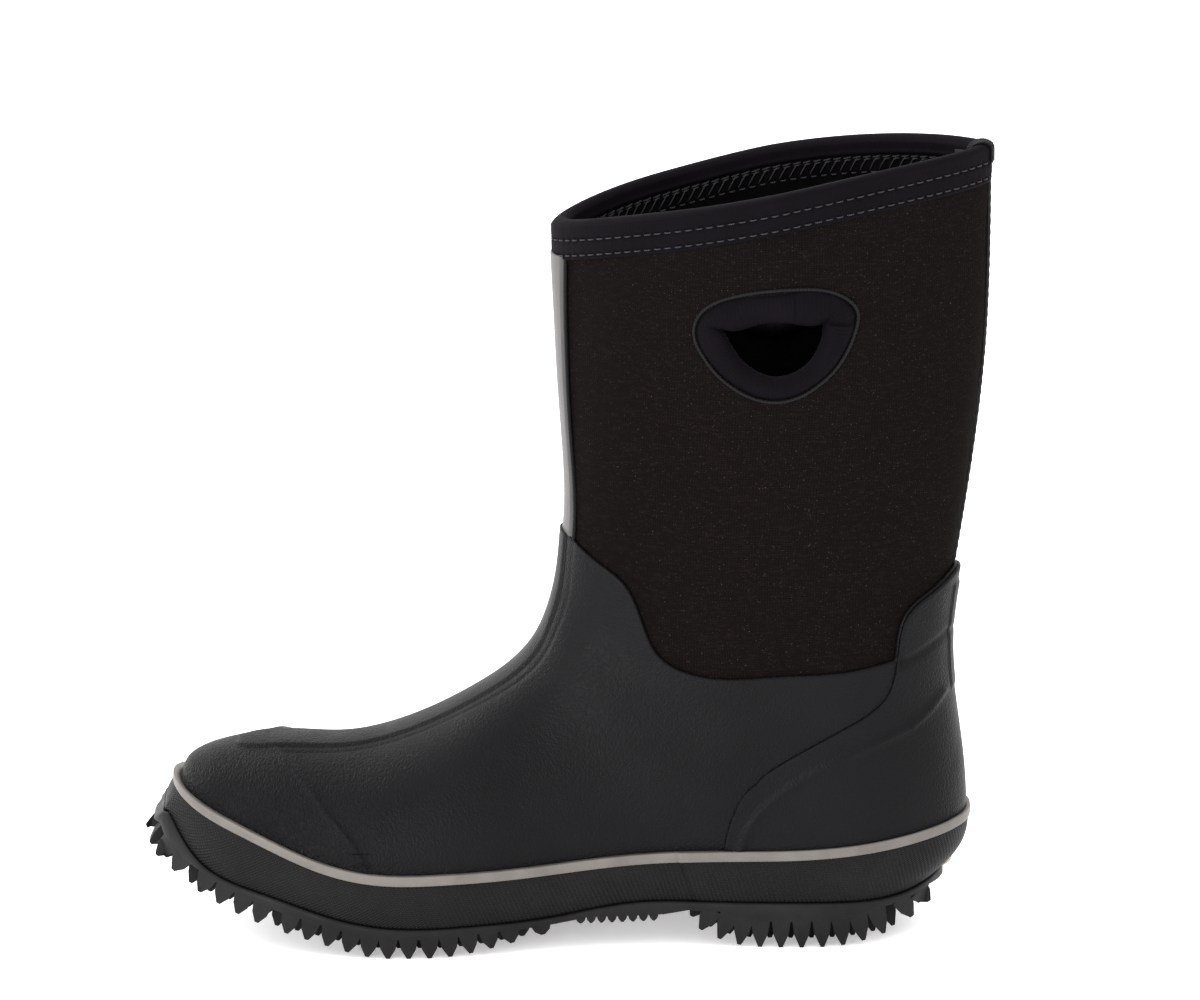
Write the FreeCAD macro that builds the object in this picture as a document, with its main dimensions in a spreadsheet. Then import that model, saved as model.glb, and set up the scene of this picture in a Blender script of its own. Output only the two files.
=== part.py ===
"""A pull-on work boot for the right foot: neoprene shaft, rubber foot and a deeply lugged sole.

Frame: millimetres, +Z up, the toe towards -X, the inner (medial) side towards -Y.
The origin is under the middle of the boot's box, on the ground.

Every layer of the upper is cut from one family of closed surfaces, envelope(depth): depth 0 is the
outside of the rubber, and a larger depth lies that much further in.
"""

import FreeCAD, Part
import Sketcher
import math
import os

Vector = FreeCAD.Vector

DIMENSIONS = {
    "cutter_width": 160.0,
    "rubber_thick": 1.7,
    "glue_gap": 0.3,
    "neoprene_thick": 4.5,
    "lining_thick": 1.0,
    "stiffener_thick": 1.4,
    "counter_thick": 1.1,
    "instep_strip_thick": 0.8,
    "instep_strip_width": 20.0,
    "instep_bottom": 60.0,
    "foxing_thick": 2.4,
    "stripe_thick": 2.9,
    "stripe_width": 3.7,
    "binding_drop": 14.5,
    "binding_thick": 1.0,
    "front_strip_width": 22.0,
    "front_strip_thick": 1.5,
    "seam_cord_width": 1.6,
    "back_tape_width": 4.0,
    "back_tape_thick": 1.0,
    "tab_width": 18.0,
    "tab_drop": 36.0,
    "tab_thick": 0.7,
    "rim_proud": 0.5,
    "rim_corner": 9.0,
    "rim_width": 8.5,
    "piping_width": 2.2,
    "piping_depth": 0.3,
    "seam_cord_depth": 0.2,
    "board_thick": 1.5,
    "board_lift": 0.5,
    "foam_thick": 4.7,
    "cloth_thick": 0.9,
    "footbed_clearance": 1.2,
    "lug_depth": 7.5,
    "lug_pitch": 7.6,
    "lug_flat": 1.2,
    "heel_lug_pitch": 7.75,
    "arch_lug_depth": 2.6,
    "arch_lug_pitch": 3.9,
    "groove_width": 3.0,
    "groove_pitch": 13.0,
    "sole_prism_height": 110.0,
    "toe_spring_radius": 127.0,
    "toe_spring_start": -70.0,
    "heel_spring_radius": 90.0,
    "heel_spring_start": 95.0,
    "footbed_start": -138.0,
    "footbed_length": 271.5,
    "footbed_height": 90.0,
    "shank_length": 96.0,
    "shank_width": 18.0,
    "shank_thick": 1.5,
    "shank_x": 12.0,
    "shank_y": 2.0,
    "shank_z": 16.9,
    "shank_slope": -5.2,
    "filler_length": 46.0,
    "filler_width": 34.0,
    "filler_thick": 4.0,
    "filler_x": 96.0,
    "filler_y": 1.0,
    "filler_z": 18.0,
}

# One row for each section of the envelope, from the toe, over the heel and instep, up to the collar:
# front point x, z; back or lower point x, z; inner and outer half-width; place of the widest
# point from back to front; squareness of the front and of the back; share of the depth by which the
# section moves along the boot, so that the wall keeps its thickness over the toe and past the collar.
STATION_COLUMNS = (
    "front_x", "front_z", "back_x", "back_z", "inner", "outer", "widest",
    "front_power", "back_power", "slide",
)
STATIONS = (
    (-142.5, 61.0, -151.0, 33.0, 15.0, 4.0, 0.50, 2.4, 2.4, 1.0),
    (-140.5, 63.6, -147.5, 21.0, 21.0, 12.5, 0.50, 2.4, 2.6, 0.85),
    (-134.5, 66.6, -139.5, 12.0, 27.5, 22.0, 0.47, 2.4, 3.0, 0.6),
    (-124.0, 69.8, -127.0, 5.0, 34.0, 31.5, 0.42, 2.3, 3.0, 0.35),
    (-108.0, 72.4, -108.0, -2.0, 39.5, 41.0, 0.40, 2.3, 3.2, 0.15),
    (-84.0, 71.9, -84.0, -8.0, 44.3, 45.2, 0.40, 2.3, 3.2, 0.0),
    (-57.0, 78.4, -57.0, -8.0, 45.8, 46.4, 0.38, 2.2, 3.2, 0.0),
    (-36.0, 88.9, -25.0, -8.0, 43.0, 45.0, 0.38, 2.2, 3.2, 0.0),
    (-23.0, 97.8, 12.0, -6.0, 38.0, 41.5, 0.42, 2.2, 3.0, 0.0),
    (-13.0, 108.6, 55.0, -5.0, 35.0, 39.5, 0.48, 2.2, 2.7, 0.0),
    (-7.2, 121.2, 102.0, -4.0, 36.0, 38.5, 0.48, 2.2, 2.6, 0.0),
    (-4.6, 131.0, 136.0, 6.0, 36.0, 37.5, 0.46, 2.2, 2.5, 0.0),
    (-3.2, 141.0, 147.6, 34.0, 36.0, 37.0, 0.47, 2.2, 2.4, 0.0),
    (-2.4, 151.0, 147.9, 58.0, 36.0, 37.0, 0.48, 2.2, 2.3, 0.0),
    (-1.7, 162.0, 145.0, 82.0, 36.5, 37.5, 0.50, 2.15, 2.2, 0.0),
    (-1.9, 175.0, 142.4, 108.0, 37.5, 38.0, 0.50, 2.1, 2.1, 0.0),
    (-3.0, 192.0, 145.6, 140.0, 39.0, 39.5, 0.50, 2.1, 2.0, 0.0),
    (-4.5, 214.0, 151.6, 180.0, 41.0, 41.0, 0.50, 2.0, 1.95, 0.0),
    (-5.6, 236.0, 156.0, 222.0, 43.0, 43.0, 0.50, 1.9, 1.8, 0.0),
    (-6.6, 256.0, 157.4, 262.0, 44.8, 44.8, 0.50, 1.75, 1.62, 0.0),
    (-7.0, 272.0, 157.5, 302.0, 45.8, 45.8, 0.50, 1.68, 1.5, 0.0),
    (-7.2, 290.0, 157.5, 322.0, 46.0, 46.0, 0.50, 1.68, 1.5, 0.0),
)
RING_POINTS = 32
PANEL_SEAM_Y = -0.35

# Side-view lines, each a curve through x, z points.
COLLAR_LINE = (
    (-25, 264), (-5, 270.8), (22, 277.9), (44, 282.4), (66, 287), (110, 295), (158, 300), (185, 301),
)
VAMP_EDGE = (
    (-30, 156), (-1.7, 153.7), (9, 146.5), (20, 139), (27.3, 124.4), (34, 111.5), (44.8, 105.8),
    (79, 105), (106, 106), (122.2, 108.7),
)
COUNTER_TOP = (
    (122.2, 108.7), (122.9, 116), (126.7, 126.7), (137.4, 134.1), (144.1, 138.5), (175, 143),
)
COUNTER_FRONT = (
    (122.2, 108.7), (119.2, 97.3), (104, 85.4), (79.8, 71.8), (66, 60), (60, 47), (56, 22),
)
SPLIT_LINE = (
    (-30, 141), (4, 135), (17, 122), (27, 104), (42, 93), (79, 91), (112, 94), (128, 108), (175, 126),
)
STRIPE_LINE = (
    (-175, 76), (-152, 62.5), (-141.6, 55), (-120, 45.1), (-91.7, 33.9), (-74, 30.2), (-45, 29.9),
    (-19.5, 31), (23, 34.6), (56, 36), (87.6, 36.4), (117.7, 39), (146.8, 43.8), (175, 48),
)
FOXING_BOTTOM = (
    (-175, 66), (-151, 50), (-145.6, 40.8), (-138, 31.5), (-113, 21.9), (-84.6, 14), (-66, 11.4),
    (-36, 11.4), (-5, 12.8), (23, 16.8), (50, 17.2), (100, 17), (131, 19.3), (144, 24.5), (175, 40),
)
CORE_TOP = (
    (-175, 54), (-150, 41.5), (-145.6, 37.6), (-138, 31), (-125, 25.3), (-113, 20.7), (-84.6, 12.6),
    (-66, 10), (-36, 10), (-5, 11.3), (23, 15.2), (50, 15.6), (120, 15.8), (175, 17),
)
FLOOR_LINE = (
    (-175, 58), (-150, 43), (-139, 36), (-120, 27.5), (-98, 19.8), (-75, 15.6), (-40, 15.4), (0, 17.8),
    (40, 21.6), (75, 24), (110, 24.6), (175, 26),
)
TOE_PUFF_EDGE = ((-112, 90), (-100, 66), (-88, 55), (-78, 43), (-70, 8))
STIFFENER_EDGE = ((150, 122), (126, 104), (112, 86), (95, 70), (82, 50), (77, 18))

# The sole from above: inner side from toe to heel, then the outer side back to the toe.
SOLE_OUTLINE = (
    (-156.3, -4), (-153, -14), (-146, -22), (-134, -32), (-120, -38.8), (-99, -45), (-70, -49.9),
    (-46, -49.2), (-5, -39), (23, -34.5), (49, -34), (81, -36), (108, -33.5), (124, -26.5), (136, -14),
    (141, 1), (137, 16), (124, 29), (105, 36.5), (70, 39.5), (30, 41), (0, 44), (-30, 48.6),
    (-60, 50.2), (-90, 48.7), (-118, 42), (-137, 31), (-150, 16),
)

# The three rounded corners of the hand hole, x and z.
HANDLE_CORNERS = ((66.5, 235.2), (88.0, 236.4), (80.5, 231.8))

doc = FreeCAD.newDocument("pull_on_boot")
sheet = doc.addObject("Spreadsheet::Sheet", "dimensions")


def fill_sheet():
    """Writes each driving dimension beside its name, one row each."""
    values = dict(DIMENSIONS)
    for number, row in enumerate(STATIONS):
        for column, value in zip(STATION_COLUMNS, row):
            values[f"station{number:02d}_{column}"] = value
    for line, (alias, value) in enumerate(values.items(), start=1):
        sheet.set(f"A{line}", alias)
        sheet.set(f"B{line}", str(value))
        sheet.setAlias(f"B{line}", alias)
    doc.recompute()


def size(alias):
    return float(getattr(sheet, alias))


fill_sheet()

RUBBER_INSIDE = size("rubber_thick")
PANEL_OUTSIDE = RUBBER_INSIDE + size("glue_gap")
PANEL_INSIDE = PANEL_OUTSIDE + size("neoprene_thick")
LINING_INSIDE = PANEL_INSIDE + size("lining_thick")
BINDING_OUTSIDE = PANEL_OUTSIDE - size("binding_thick")
BINDING_INSIDE = LINING_INSIDE + size("binding_thick")


def power_radius(angle, power):
    """Distance from the middle to a superellipse of unit half-widths."""
    return (abs(math.cos(angle)) ** power + abs(math.sin(angle)) ** power) ** (-1.0 / power)


def section_ring(number, depth):
    """One closed section of the envelope, in its own plane."""
    def value(column):
        return size(f"station{number:02d}_{column}")

    last = number == len(STATIONS) - 1
    front = Vector(value("front_x"), 0, value("front_z"))
    back = Vector(value("back_x"), 0, value("back_z"))
    slide = Vector(value("slide") * depth, 0, depth if last else 0)
    along = (front - back).normalize()
    length = (front - back).Length
    middle = back + along * (length * value("widest")) + slide
    half_front = length * (1 - value("widest")) - depth
    half_back = length * value("widest") - depth
    half_width = (value("outer") + value("inner")) / 2 - depth
    middle.y = (value("outer") - value("inner")) / 2
    points = []
    for step in range(RING_POINTS):
        angle = 2 * math.pi * step / RING_POINTS
        front_half = math.cos(angle) >= 0
        power = value("front_power") if front_half else value("back_power")
        reach = half_front if front_half else half_back
        radius = power_radius(angle, power)
        place = middle + along * (reach * radius * math.cos(angle))
        place.y = middle.y - half_width * radius * math.sin(angle)
        points.append(place)
    curve = Part.BSplineCurve()
    knots = [step / RING_POINTS for step in range(RING_POINTS + 1)]
    curve.interpolate(Points=points, Parameters=knots, PeriodicFlag=True)
    return curve


def skinned_solid(rings):
    """A smooth closed skin through rings that share their knots, with a flat face at each end."""
    pole_rows = [ring.getPoles() for ring in rings]
    middles = [sum(row, Vector()) / len(row) for row in pole_rows]
    places = [0.0]
    for before, after in zip(middles, middles[1:]):
        places.append(places[-1] + (after - before).Length)
    ribs = []
    for column in zip(*pole_rows):
        rib = Part.BSplineCurve()
        rib.interpolate(Points=list(column), Parameters=places)
        ribs.append(rib)
    surface = Part.BSplineSurface()
    surface.buildFromPolesMultsKnots(
        [rib.getPoles() for rib in ribs],
        rings[0].getMultiplicities(), ribs[0].getMultiplicities(),
        rings[0].getKnots(), ribs[0].getKnots(),
        True, False, rings[0].Degree, ribs[0].Degree,
    )
    skin = surface.toShape()
    rims = [edge for edge in skin.Edges if edge.isClosed() and not edge.isSeam(skin)]
    ends = [Part.Face(Part.Wire([edge])) for edge in rims]
    shell = Part.Shell([skin] + ends)
    solid = Part.Solid(shell)
    solid.fix(1e-6, 1e-6, 1e-6)
    return solid if solid.Volume > 0 else solid.reversed()


SKY = 360.0
UNDER = -30.0
FAR = 200.0
envelopes = {}


def envelope(depth):
    """The closed solid inside the surface that lies this deep in the boot's wall."""
    key = round(depth, 3)
    if key not in envelopes:
        rings = [section_ring(number, key) for number in range(len(STATIONS))]
        name = f"envelope_{key}".replace("-", "out_").replace(".", "_")
        solid = doc.addObject("Part::Feature", name)
        solid.Shape = skinned_solid(rings)
        envelopes[key] = solid
    return envelopes[key]


def spline(points):
    """A curve in the side view through x, z points."""
    curve = Part.BSplineCurve()
    curve.interpolate([Vector(x, 0, z) for x, z in points])
    return curve.toShape()


def raised(points, lift):
    return tuple((x, z + lift) for x, z in points)


def prism(name, edges, width="cutter_width", centre=0.0):
    """Extrudes a closed side-view outline across the boot, centred on y = centre."""
    outline = doc.addObject("Part::Feature", name + "_outline")
    outline.Shape = Part.Face(Part.Wire(Part.sortEdges(edges)[0]))
    solid = doc.addObject("Part::Extrusion", name)
    solid.Base = outline
    solid.DirMode = "Custom"
    solid.Dir = Vector(0, 1, 0)
    solid.Solid = True
    solid.Symmetric = True
    solid.setExpression("LengthFwd", f"dimensions.{width}")
    solid.Placement = FreeCAD.Placement(Vector(0, centre, 0), FreeCAD.Rotation())
    return solid


def polygon_edges(points):
    return [Part.makeLine(a, b) for a, b in zip(points, points[1:]) if (a - b).Length > 1e-6]


def region(name, curves, level):
    """Everything between a chain of side-view curves and a far level above or below."""
    edges = [spline(points) for points in curves]
    first = Vector(curves[0][0][0], 0, curves[0][0][1])
    last = Vector(curves[-1][-1][0], 0, curves[-1][-1][1])
    toe_side = Vector(-FAR, 0, first.z)
    heel_side = Vector(FAR, 0, last.z)
    corners = [last, heel_side, Vector(FAR, 0, level), Vector(-FAR, 0, level), toe_side, first]
    return prism(name, edges + polygon_edges(corners))


def cut(name, base, tool):
    result = doc.addObject("Part::Cut", name)
    result.Base = base
    result.Tool = tool
    return result


def common(name, *solids):
    result = doc.addObject("Part::MultiCommon", name)
    result.Shapes = list(solids)
    return result


def fuse(name, *solids):
    result = doc.addObject("Part::MultiFuse", name)
    result.Shapes = list(solids)
    return result


def block(name, low, high):
    """A box between two corners."""
    box = doc.addObject("Part::Box", name)
    box.Length, box.Width, box.Height = high - low
    box.Placement = FreeCAD.Placement(low, FreeCAD.Rotation())
    return box


def slab(name, low_y, high_y):
    """A block across the whole boot's length and height, between two y values."""
    return block(name, Vector(-FAR, low_y, UNDER), Vector(FAR, high_y, SKY))


def side_block(name, low_x, high_x, low_z, high_z):
    """A block across the boot's whole width, between two side-view corners."""
    return block(name, Vector(low_x, -FAR, low_z), Vector(high_x, FAR, high_z))


def layer(name, outside, inside, *regions):
    """The wall between two depths, kept only inside the regions."""
    kept = common(name + "_block", envelope(outside), *regions)
    return cut(name, kept, envelope(inside))


def sock(name, depth):
    """The envelope at a depth, with a floor that lies that deep above the lasting board."""
    above_floor = region(name + "_floor", [raised(FLOOR_LINE, depth)], SKY)
    return common(name, envelope(depth), above_floor)


# ---- side-view regions ----------------------------------------------------------------------------

GAP = size("glue_gap")
below_rubber_edge = region("below_rubber_edge", [VAMP_EDGE, COUNTER_TOP], UNDER)
above_rubber_edge = region("above_rubber_edge", [raised(VAMP_EDGE, GAP), raised(COUNTER_TOP, GAP)], SKY)
above_board = region("above_board", [raised(FLOOR_LINE, size("board_lift"))], SKY)
below_board = region("below_board", [raised(FLOOR_LINE, size("board_lift"))], UNDER)
below_board_top = region(
    "below_board_top", [raised(FLOOR_LINE, size("board_lift") + size("board_thick"))], UNDER
)
above_core = region("above_core", [CORE_TOP], SKY)
below_split = region("below_split", [SPLIT_LINE], UNDER)
above_split = region("above_split", [raised(SPLIT_LINE, GAP)], SKY)
below_collar = region("below_collar", [COLLAR_LINE], UNDER)
below_collar_edge = region("below_collar_edge", [raised(COLLAR_LINE, -size("binding_thick"))], UNDER)
above_binding = region("above_binding", [raised(COLLAR_LINE, -size("binding_drop"))], SKY)
below_binding = region("below_binding", [raised(COLLAR_LINE, -size("binding_drop"))], UNDER)
counter_region = prism(
    "counter_region",
    [spline(COUNTER_FRONT), spline(COUNTER_TOP)] + polygon_edges([
        Vector(COUNTER_TOP[-1][0], 0, COUNTER_TOP[-1][1]),
        Vector(COUNTER_TOP[-1][0], 0, COUNTER_FRONT[-1][1]),
        Vector(COUNTER_FRONT[-1][0], 0, COUNTER_FRONT[-1][1]),
    ]),
)
above_foxing_bottom = region("above_foxing_bottom", [FOXING_BOTTOM], SKY)
HALF_STRIPE = size("stripe_width") / 2
below_stripe = region("below_stripe", [raised(STRIPE_LINE, -HALF_STRIPE)], UNDER)
above_stripe_bottom = region("above_stripe_bottom", [raised(STRIPE_LINE, -HALF_STRIPE)], SKY)
below_stripe_top = region("below_stripe_top", [raised(STRIPE_LINE, HALF_STRIPE)], UNDER)
above_stripe_top = region("above_stripe_top", [raised(STRIPE_LINE, HALF_STRIPE)], SKY)

FRONT_END_X = 60.0
BACK_START_X = 90.0
BACK_BOTTOM_Z = 60.0
STRIP_START_X = -124.0
front_block = side_block("front_block", -FAR, FRONT_END_X, UNDER, SKY)
back_block = side_block("back_block", BACK_START_X, FAR, BACK_BOTTOM_Z, SKY)
instep_block = side_block("instep_block", STRIP_START_X, FRONT_END_X, size("instep_bottom"), SKY)
inner_half = slab("inner_half", -FAR, PANEL_SEAM_Y)
outer_half = slab("outer_half", PANEL_SEAM_Y, FAR)


# ---- the hand holes -------------------------------------------------------------------------------

def rounded_triangle(offset):
    """The hand hole's outline: its three corners with arcs of this radius around them."""
    corners = [Vector(x, 0, z) for x, z in HANDLE_CORNERS]
    core = Part.Face(Part.makePolygon(corners + corners[:1]))
    return core.makeOffset2D(offset, 0, False, False, True).OuterWire.Edges


hole_prism = prism("hole_prism", rounded_triangle(size("rim_corner")))
rim_prism = prism("rim_prism", rounded_triangle(size("rim_corner") + size("rim_width")))
piping_prism = prism(
    "piping_prism", rounded_triangle(size("rim_corner") + size("rim_width") + size("piping_width"))
)

# ---- the rubber foot ------------------------------------------------------------------------------

rubber_vamp = layer("rubber_vamp", 0, RUBBER_INSIDE, below_rubber_edge, above_board)
heel_counter_cover = layer(
    "heel_counter_cover", -size("counter_thick"), 0, counter_region, above_stripe_top
)
instep_strip_slab = slab(
    "instep_strip_slab", -size("instep_strip_width") / 2, size("instep_strip_width") / 2
)
instep_strip = layer(
    "instep_strip", -size("instep_strip_thick"), 0, instep_strip_slab, instep_block, below_rubber_edge
)
foxing_band = layer("foxing_band", -size("foxing_thick"), 0, above_foxing_bottom, below_stripe)
foxing_stripe = layer("foxing_stripe", -size("stripe_thick"), 0, above_stripe_bottom, below_stripe_top)

# ---- stiffeners, neoprene sock and lining ---------------------------------------------------------

def end_region(name, edge_line, far_x):
    """Everything between a side-view line and the far end of the boot."""
    top_x, top_z = edge_line[0]
    low_x, low_z = edge_line[-1]
    corners = [(low_x, low_z), (far_x, low_z), (far_x, top_z), (top_x, top_z)]
    sides = polygon_edges([Vector(x, 0, z) for x, z in corners])
    return prism(name, [spline(edge_line)] + sides)


toe_region = end_region("toe_region", TOE_PUFF_EDGE, -FAR)
heel_region = end_region("heel_region", STIFFENER_EDGE, FAR)
STIFFENER_INSIDE = PANEL_OUTSIDE + size("stiffener_thick")
above_sock_floor = region("above_sock_floor", [raised(FLOOR_LINE, PANEL_OUTSIDE)], SKY)
toe_puff = layer("toe_puff", PANEL_OUTSIDE, STIFFENER_INSIDE, toe_region, above_sock_floor)
heel_stiffener = layer("heel_stiffener", PANEL_OUTSIDE, STIFFENER_INSIDE, heel_region, above_sock_floor)

sock_outside = sock("sock_outside", PANEL_OUTSIDE)
sock_inside = sock("sock_inside", PANEL_INSIDE)
lining_inside = sock("lining_inside", LINING_INSIDE)
whole_sock = cut("whole_sock", common("sock_block", sock_outside, below_split), sock_inside)
stiffeners = fuse("stiffeners", toe_puff, heel_stiffener)
foot_bootie = cut("foot_bootie", whole_sock, stiffeners)
foot_lining = cut("foot_lining", common("lining_block", sock_inside, below_split), lining_inside)

# ---- the shaft ------------------------------------------------------------------------------------

shaft_wall = layer("shaft_wall", PANEL_OUTSIDE, PANEL_INSIDE, above_split, below_collar_edge)
shaft_wall_holed = cut("shaft_wall_holed", shaft_wall, rim_prism)
inner_panel = common("inner_panel", shaft_wall_holed, inner_half)
outer_panel = common("outer_panel", shaft_wall_holed, outer_half)
shaft_lining = cut(
    "shaft_lining",
    layer("shaft_lining_wall", PANEL_INSIDE, LINING_INSIDE, above_split, below_collar_edge),
    rim_prism,
)
half_strip = size("front_strip_width") / 2
strip_slab = slab("strip_slab", -half_strip, half_strip)
front_strip = layer(
    "front_strip", PANEL_OUTSIDE - size("front_strip_thick"), PANEL_OUTSIDE,
    strip_slab, front_block, above_rubber_edge, below_binding,
)
cord_edge = half_strip + size("seam_cord_width")
for side, low, high in (("inner", -cord_edge, -half_strip), ("outer", half_strip, cord_edge)):
    layer(
        f"{side}_seam_cord", size("seam_cord_depth"), PANEL_OUTSIDE,
        slab(f"{side}_cord_slab", low, high), front_block, above_rubber_edge, below_binding,
    )
tape_slab = slab("tape_slab", -size("back_tape_width") / 2, size("back_tape_width") / 2)
back_seam_tape = layer(
    "back_seam_tape", PANEL_OUTSIDE - size("back_tape_thick"), PANEL_OUTSIDE,
    tape_slab, back_block, above_rubber_edge, below_binding,
)

binding_block = layer("binding_block", BINDING_OUTSIDE, BINDING_INSIDE, above_binding, below_collar)
covered_wall = layer("covered_wall", PANEL_OUTSIDE, LINING_INSIDE, below_collar_edge)
collar_binding = cut("collar_binding", binding_block, covered_wall)
tab_slab = slab("tab_slab", -size("tab_width") / 2, size("tab_width") / 2)
above_tab = region("above_tab", [raised(COLLAR_LINE, -size("tab_drop"))], SKY)
collar_back_tab = layer(
    "collar_back_tab", BINDING_INSIDE, BINDING_INSIDE + size("tab_thick"),
    tab_slab, back_block, above_tab, below_collar_edge,
)

RIM_OUTSIDE = size("rim_proud")
RIM_INSIDE = LINING_INSIDE + size("rim_proud")
rim_wall = cut("rim_wall", layer("rim_block", RIM_OUTSIDE, RIM_INSIDE, rim_prism), hole_prism)
piping_block = layer("piping_block", size("piping_depth"), PANEL_OUTSIDE, piping_prism)
piping_wall = cut("piping_wall", piping_block, rim_prism)
for side, half in (("inner", inner_half), ("outer", outer_half)):
    common(f"{side}_handle_rim", rim_wall, half)
    common(f"{side}_handle_piping", piping_wall, half)


# ---- the sole -------------------------------------------------------------------------------------

def toe_spring_point(distance, height):
    """A point beside the ground line, this far before the start of the toe spring."""
    radius = size("toe_spring_radius")
    start = size("toe_spring_start")
    if distance <= 0:
        return Vector(start - distance, 0, height)
    angle = distance / radius
    reach = radius - height
    return Vector(start - reach * math.sin(angle), 0, radius - reach * math.cos(angle))


def heel_spring_point(distance, height):
    """A point beside the ground line, this far behind the start of the heel's rise."""
    radius = size("heel_spring_radius")
    start = size("heel_spring_start")
    if distance <= 0:
        return Vector(start + distance, 0, height)
    angle = distance / radius
    reach = radius - height
    return Vector(start + reach * math.sin(angle), 0, radius - reach * math.cos(angle))


def teeth(place, first, last, pitch, depth):
    """Lugs from distance first to last, pitch apart: a zigzag with small flats at the tips."""
    count = round(abs(last - first) / pitch)
    step = (last - first) / count
    flat = size("lug_flat") / 2 * (1 if step > 0 else -1)
    points = []
    for number in range(count):
        middle = first + (number + 0.5) * step
        points.append(place(first + number * step, depth))
        points.append(place(middle - flat, 0))
        points.append(place(middle + flat, 0))
    points.append(place(last, depth))
    return points


TOE_WRAP = 98.8
FOREFOOT_END = -68.6
HEEL_START = -52.0
HEEL_END = 46.5
HEEL_DROP_END = -30.0
HEEL_DROP = 0.019
ARCH_LEVEL = 11.6
ARCH_START = 1.0
ARCH_LUGS_END = 36.1
ARCH_END = 42.0
FOREFOOT_RISE = 4.5
FOREFOOT_RISE_START = -30.0
GROOVES_EACH_SIDE = 3
GROOVE_OVERRUN = 2.0
ROOT_STEPS = 20


def forefoot_point(distance, height):
    """The toe spring, and a soft rise where the forefoot meets the arch."""
    place = toe_spring_point(distance, height)
    beyond = max(0.0, FOREFOOT_RISE_START - distance)
    place.z += FOREFOOT_RISE * (beyond / (FOREFOOT_RISE_START - FOREFOOT_END)) ** 2
    return place


def heel_point(distance, height):
    """The heel's ground line: it drops from the arch in the first two lugs and rises at the back."""
    place = heel_spring_point(distance, height)
    before = max(0.0, HEEL_DROP_END - distance)
    place.z = min(place.z + HEEL_DROP * before ** 2, max(place.z, ARCH_LEVEL))
    return place


def arch_point(x, height):
    return Vector(x, 0, ARCH_LEVEL - size("arch_lug_depth") + height)


def lug_profile():
    """The underside of the sole in side view, from the toe to the heel."""
    front = teeth(forefoot_point, TOE_WRAP, FOREFOOT_END, size("lug_pitch"), size("lug_depth"))
    arch = teeth(arch_point, ARCH_START, ARCH_LUGS_END, size("arch_lug_pitch"), size("arch_lug_depth"))
    heel = teeth(heel_point, HEEL_START, HEEL_END, size("heel_lug_pitch"), size("lug_depth"))
    return front + arch + [Vector(ARCH_END, 0, ARCH_LEVEL)] + heel


def root_line(place, first, last):
    """Points at the roots of the lugs from distance first to last."""
    step = (last - first) / ROOT_STEPS
    return [place(first + number * step, size("lug_depth")) for number in range(ROOT_STEPS + 1)]


def root_profile():
    """The level that the grooves between the lug rows reach."""
    front = root_line(forefoot_point, TOE_WRAP + GROOVE_OVERRUN, FOREFOOT_END)
    heel = root_line(heel_point, HEEL_START, HEEL_END)
    arch = [Vector(ARCH_START, 0, ARCH_LEVEL), Vector(ARCH_LUGS_END, 0, ARCH_LEVEL)]
    return front + arch + heel


def sole_outline_face(level):
    points = [Vector(x, y, level) for x, y in SOLE_OUTLINE]
    curve = Part.BSplineCurve()
    curve.interpolate(Points=points, PeriodicFlag=True)
    return Part.Face(Part.Wire([curve.toShape()]))


profile = lug_profile()
top_line = spline(FOXING_BOTTOM)
top_start = Vector(FOXING_BOTTOM[0][0], 0, FOXING_BOTTOM[0][1])
top_end = Vector(FOXING_BOTTOM[-1][0], 0, FOXING_BOTTOM[-1][1])
far_toe = Vector(FOXING_BOTTOM[0][0], 0, profile[0].z)
far_heel = Vector(FOXING_BOTTOM[-1][0], 0, profile[-1].z)
sole_side = prism(
    "sole_side", [top_line] + polygon_edges([top_start, far_toe] + profile + [far_heel, top_end])
)
outline_face = doc.addObject("Part::Feature", "sole_outline")
outline_face.Shape = sole_outline_face(UNDER)
outline_prism = doc.addObject("Part::Extrusion", "outline_prism")
outline_prism.Base = outline_face
outline_prism.DirMode = "Custom"
outline_prism.Dir = Vector(0, 0, 1)
outline_prism.Solid = True
outline_prism.setExpression("LengthFwd", "dimensions.sole_prism_height")
sole_block = common("sole_block", sole_side, outline_prism)

roots = root_profile()
groove_edges = polygon_edges(
    [Vector(roots[0].x, 0, UNDER)] + roots + [Vector(roots[-1].x, 0, UNDER), Vector(roots[0].x, 0, UNDER)]
)
grooves = []
for number in range(-GROOVES_EACH_SIDE, GROOVES_EACH_SIDE + 1):
    label = f"groove_{number + GROOVES_EACH_SIDE}"
    grooves.append(prism(label, groove_edges, "groove_width", number * size("groove_pitch")))
tread_cutter = fuse("tread_cutter", *grooves)
sole_core = common("sole_core", envelope(0), above_core)
outsole = cut("outsole", cut("grooved_sole", sole_block, tread_cutter), sole_core)

shank = doc.addObject("PartDesign::Body", "shank")
filler = doc.addObject("PartDesign::Body", "heel_filler")


def body_plane(body, role):
    return next(plane for plane in body.Origin.OriginFeatures if plane.Role == role)


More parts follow.
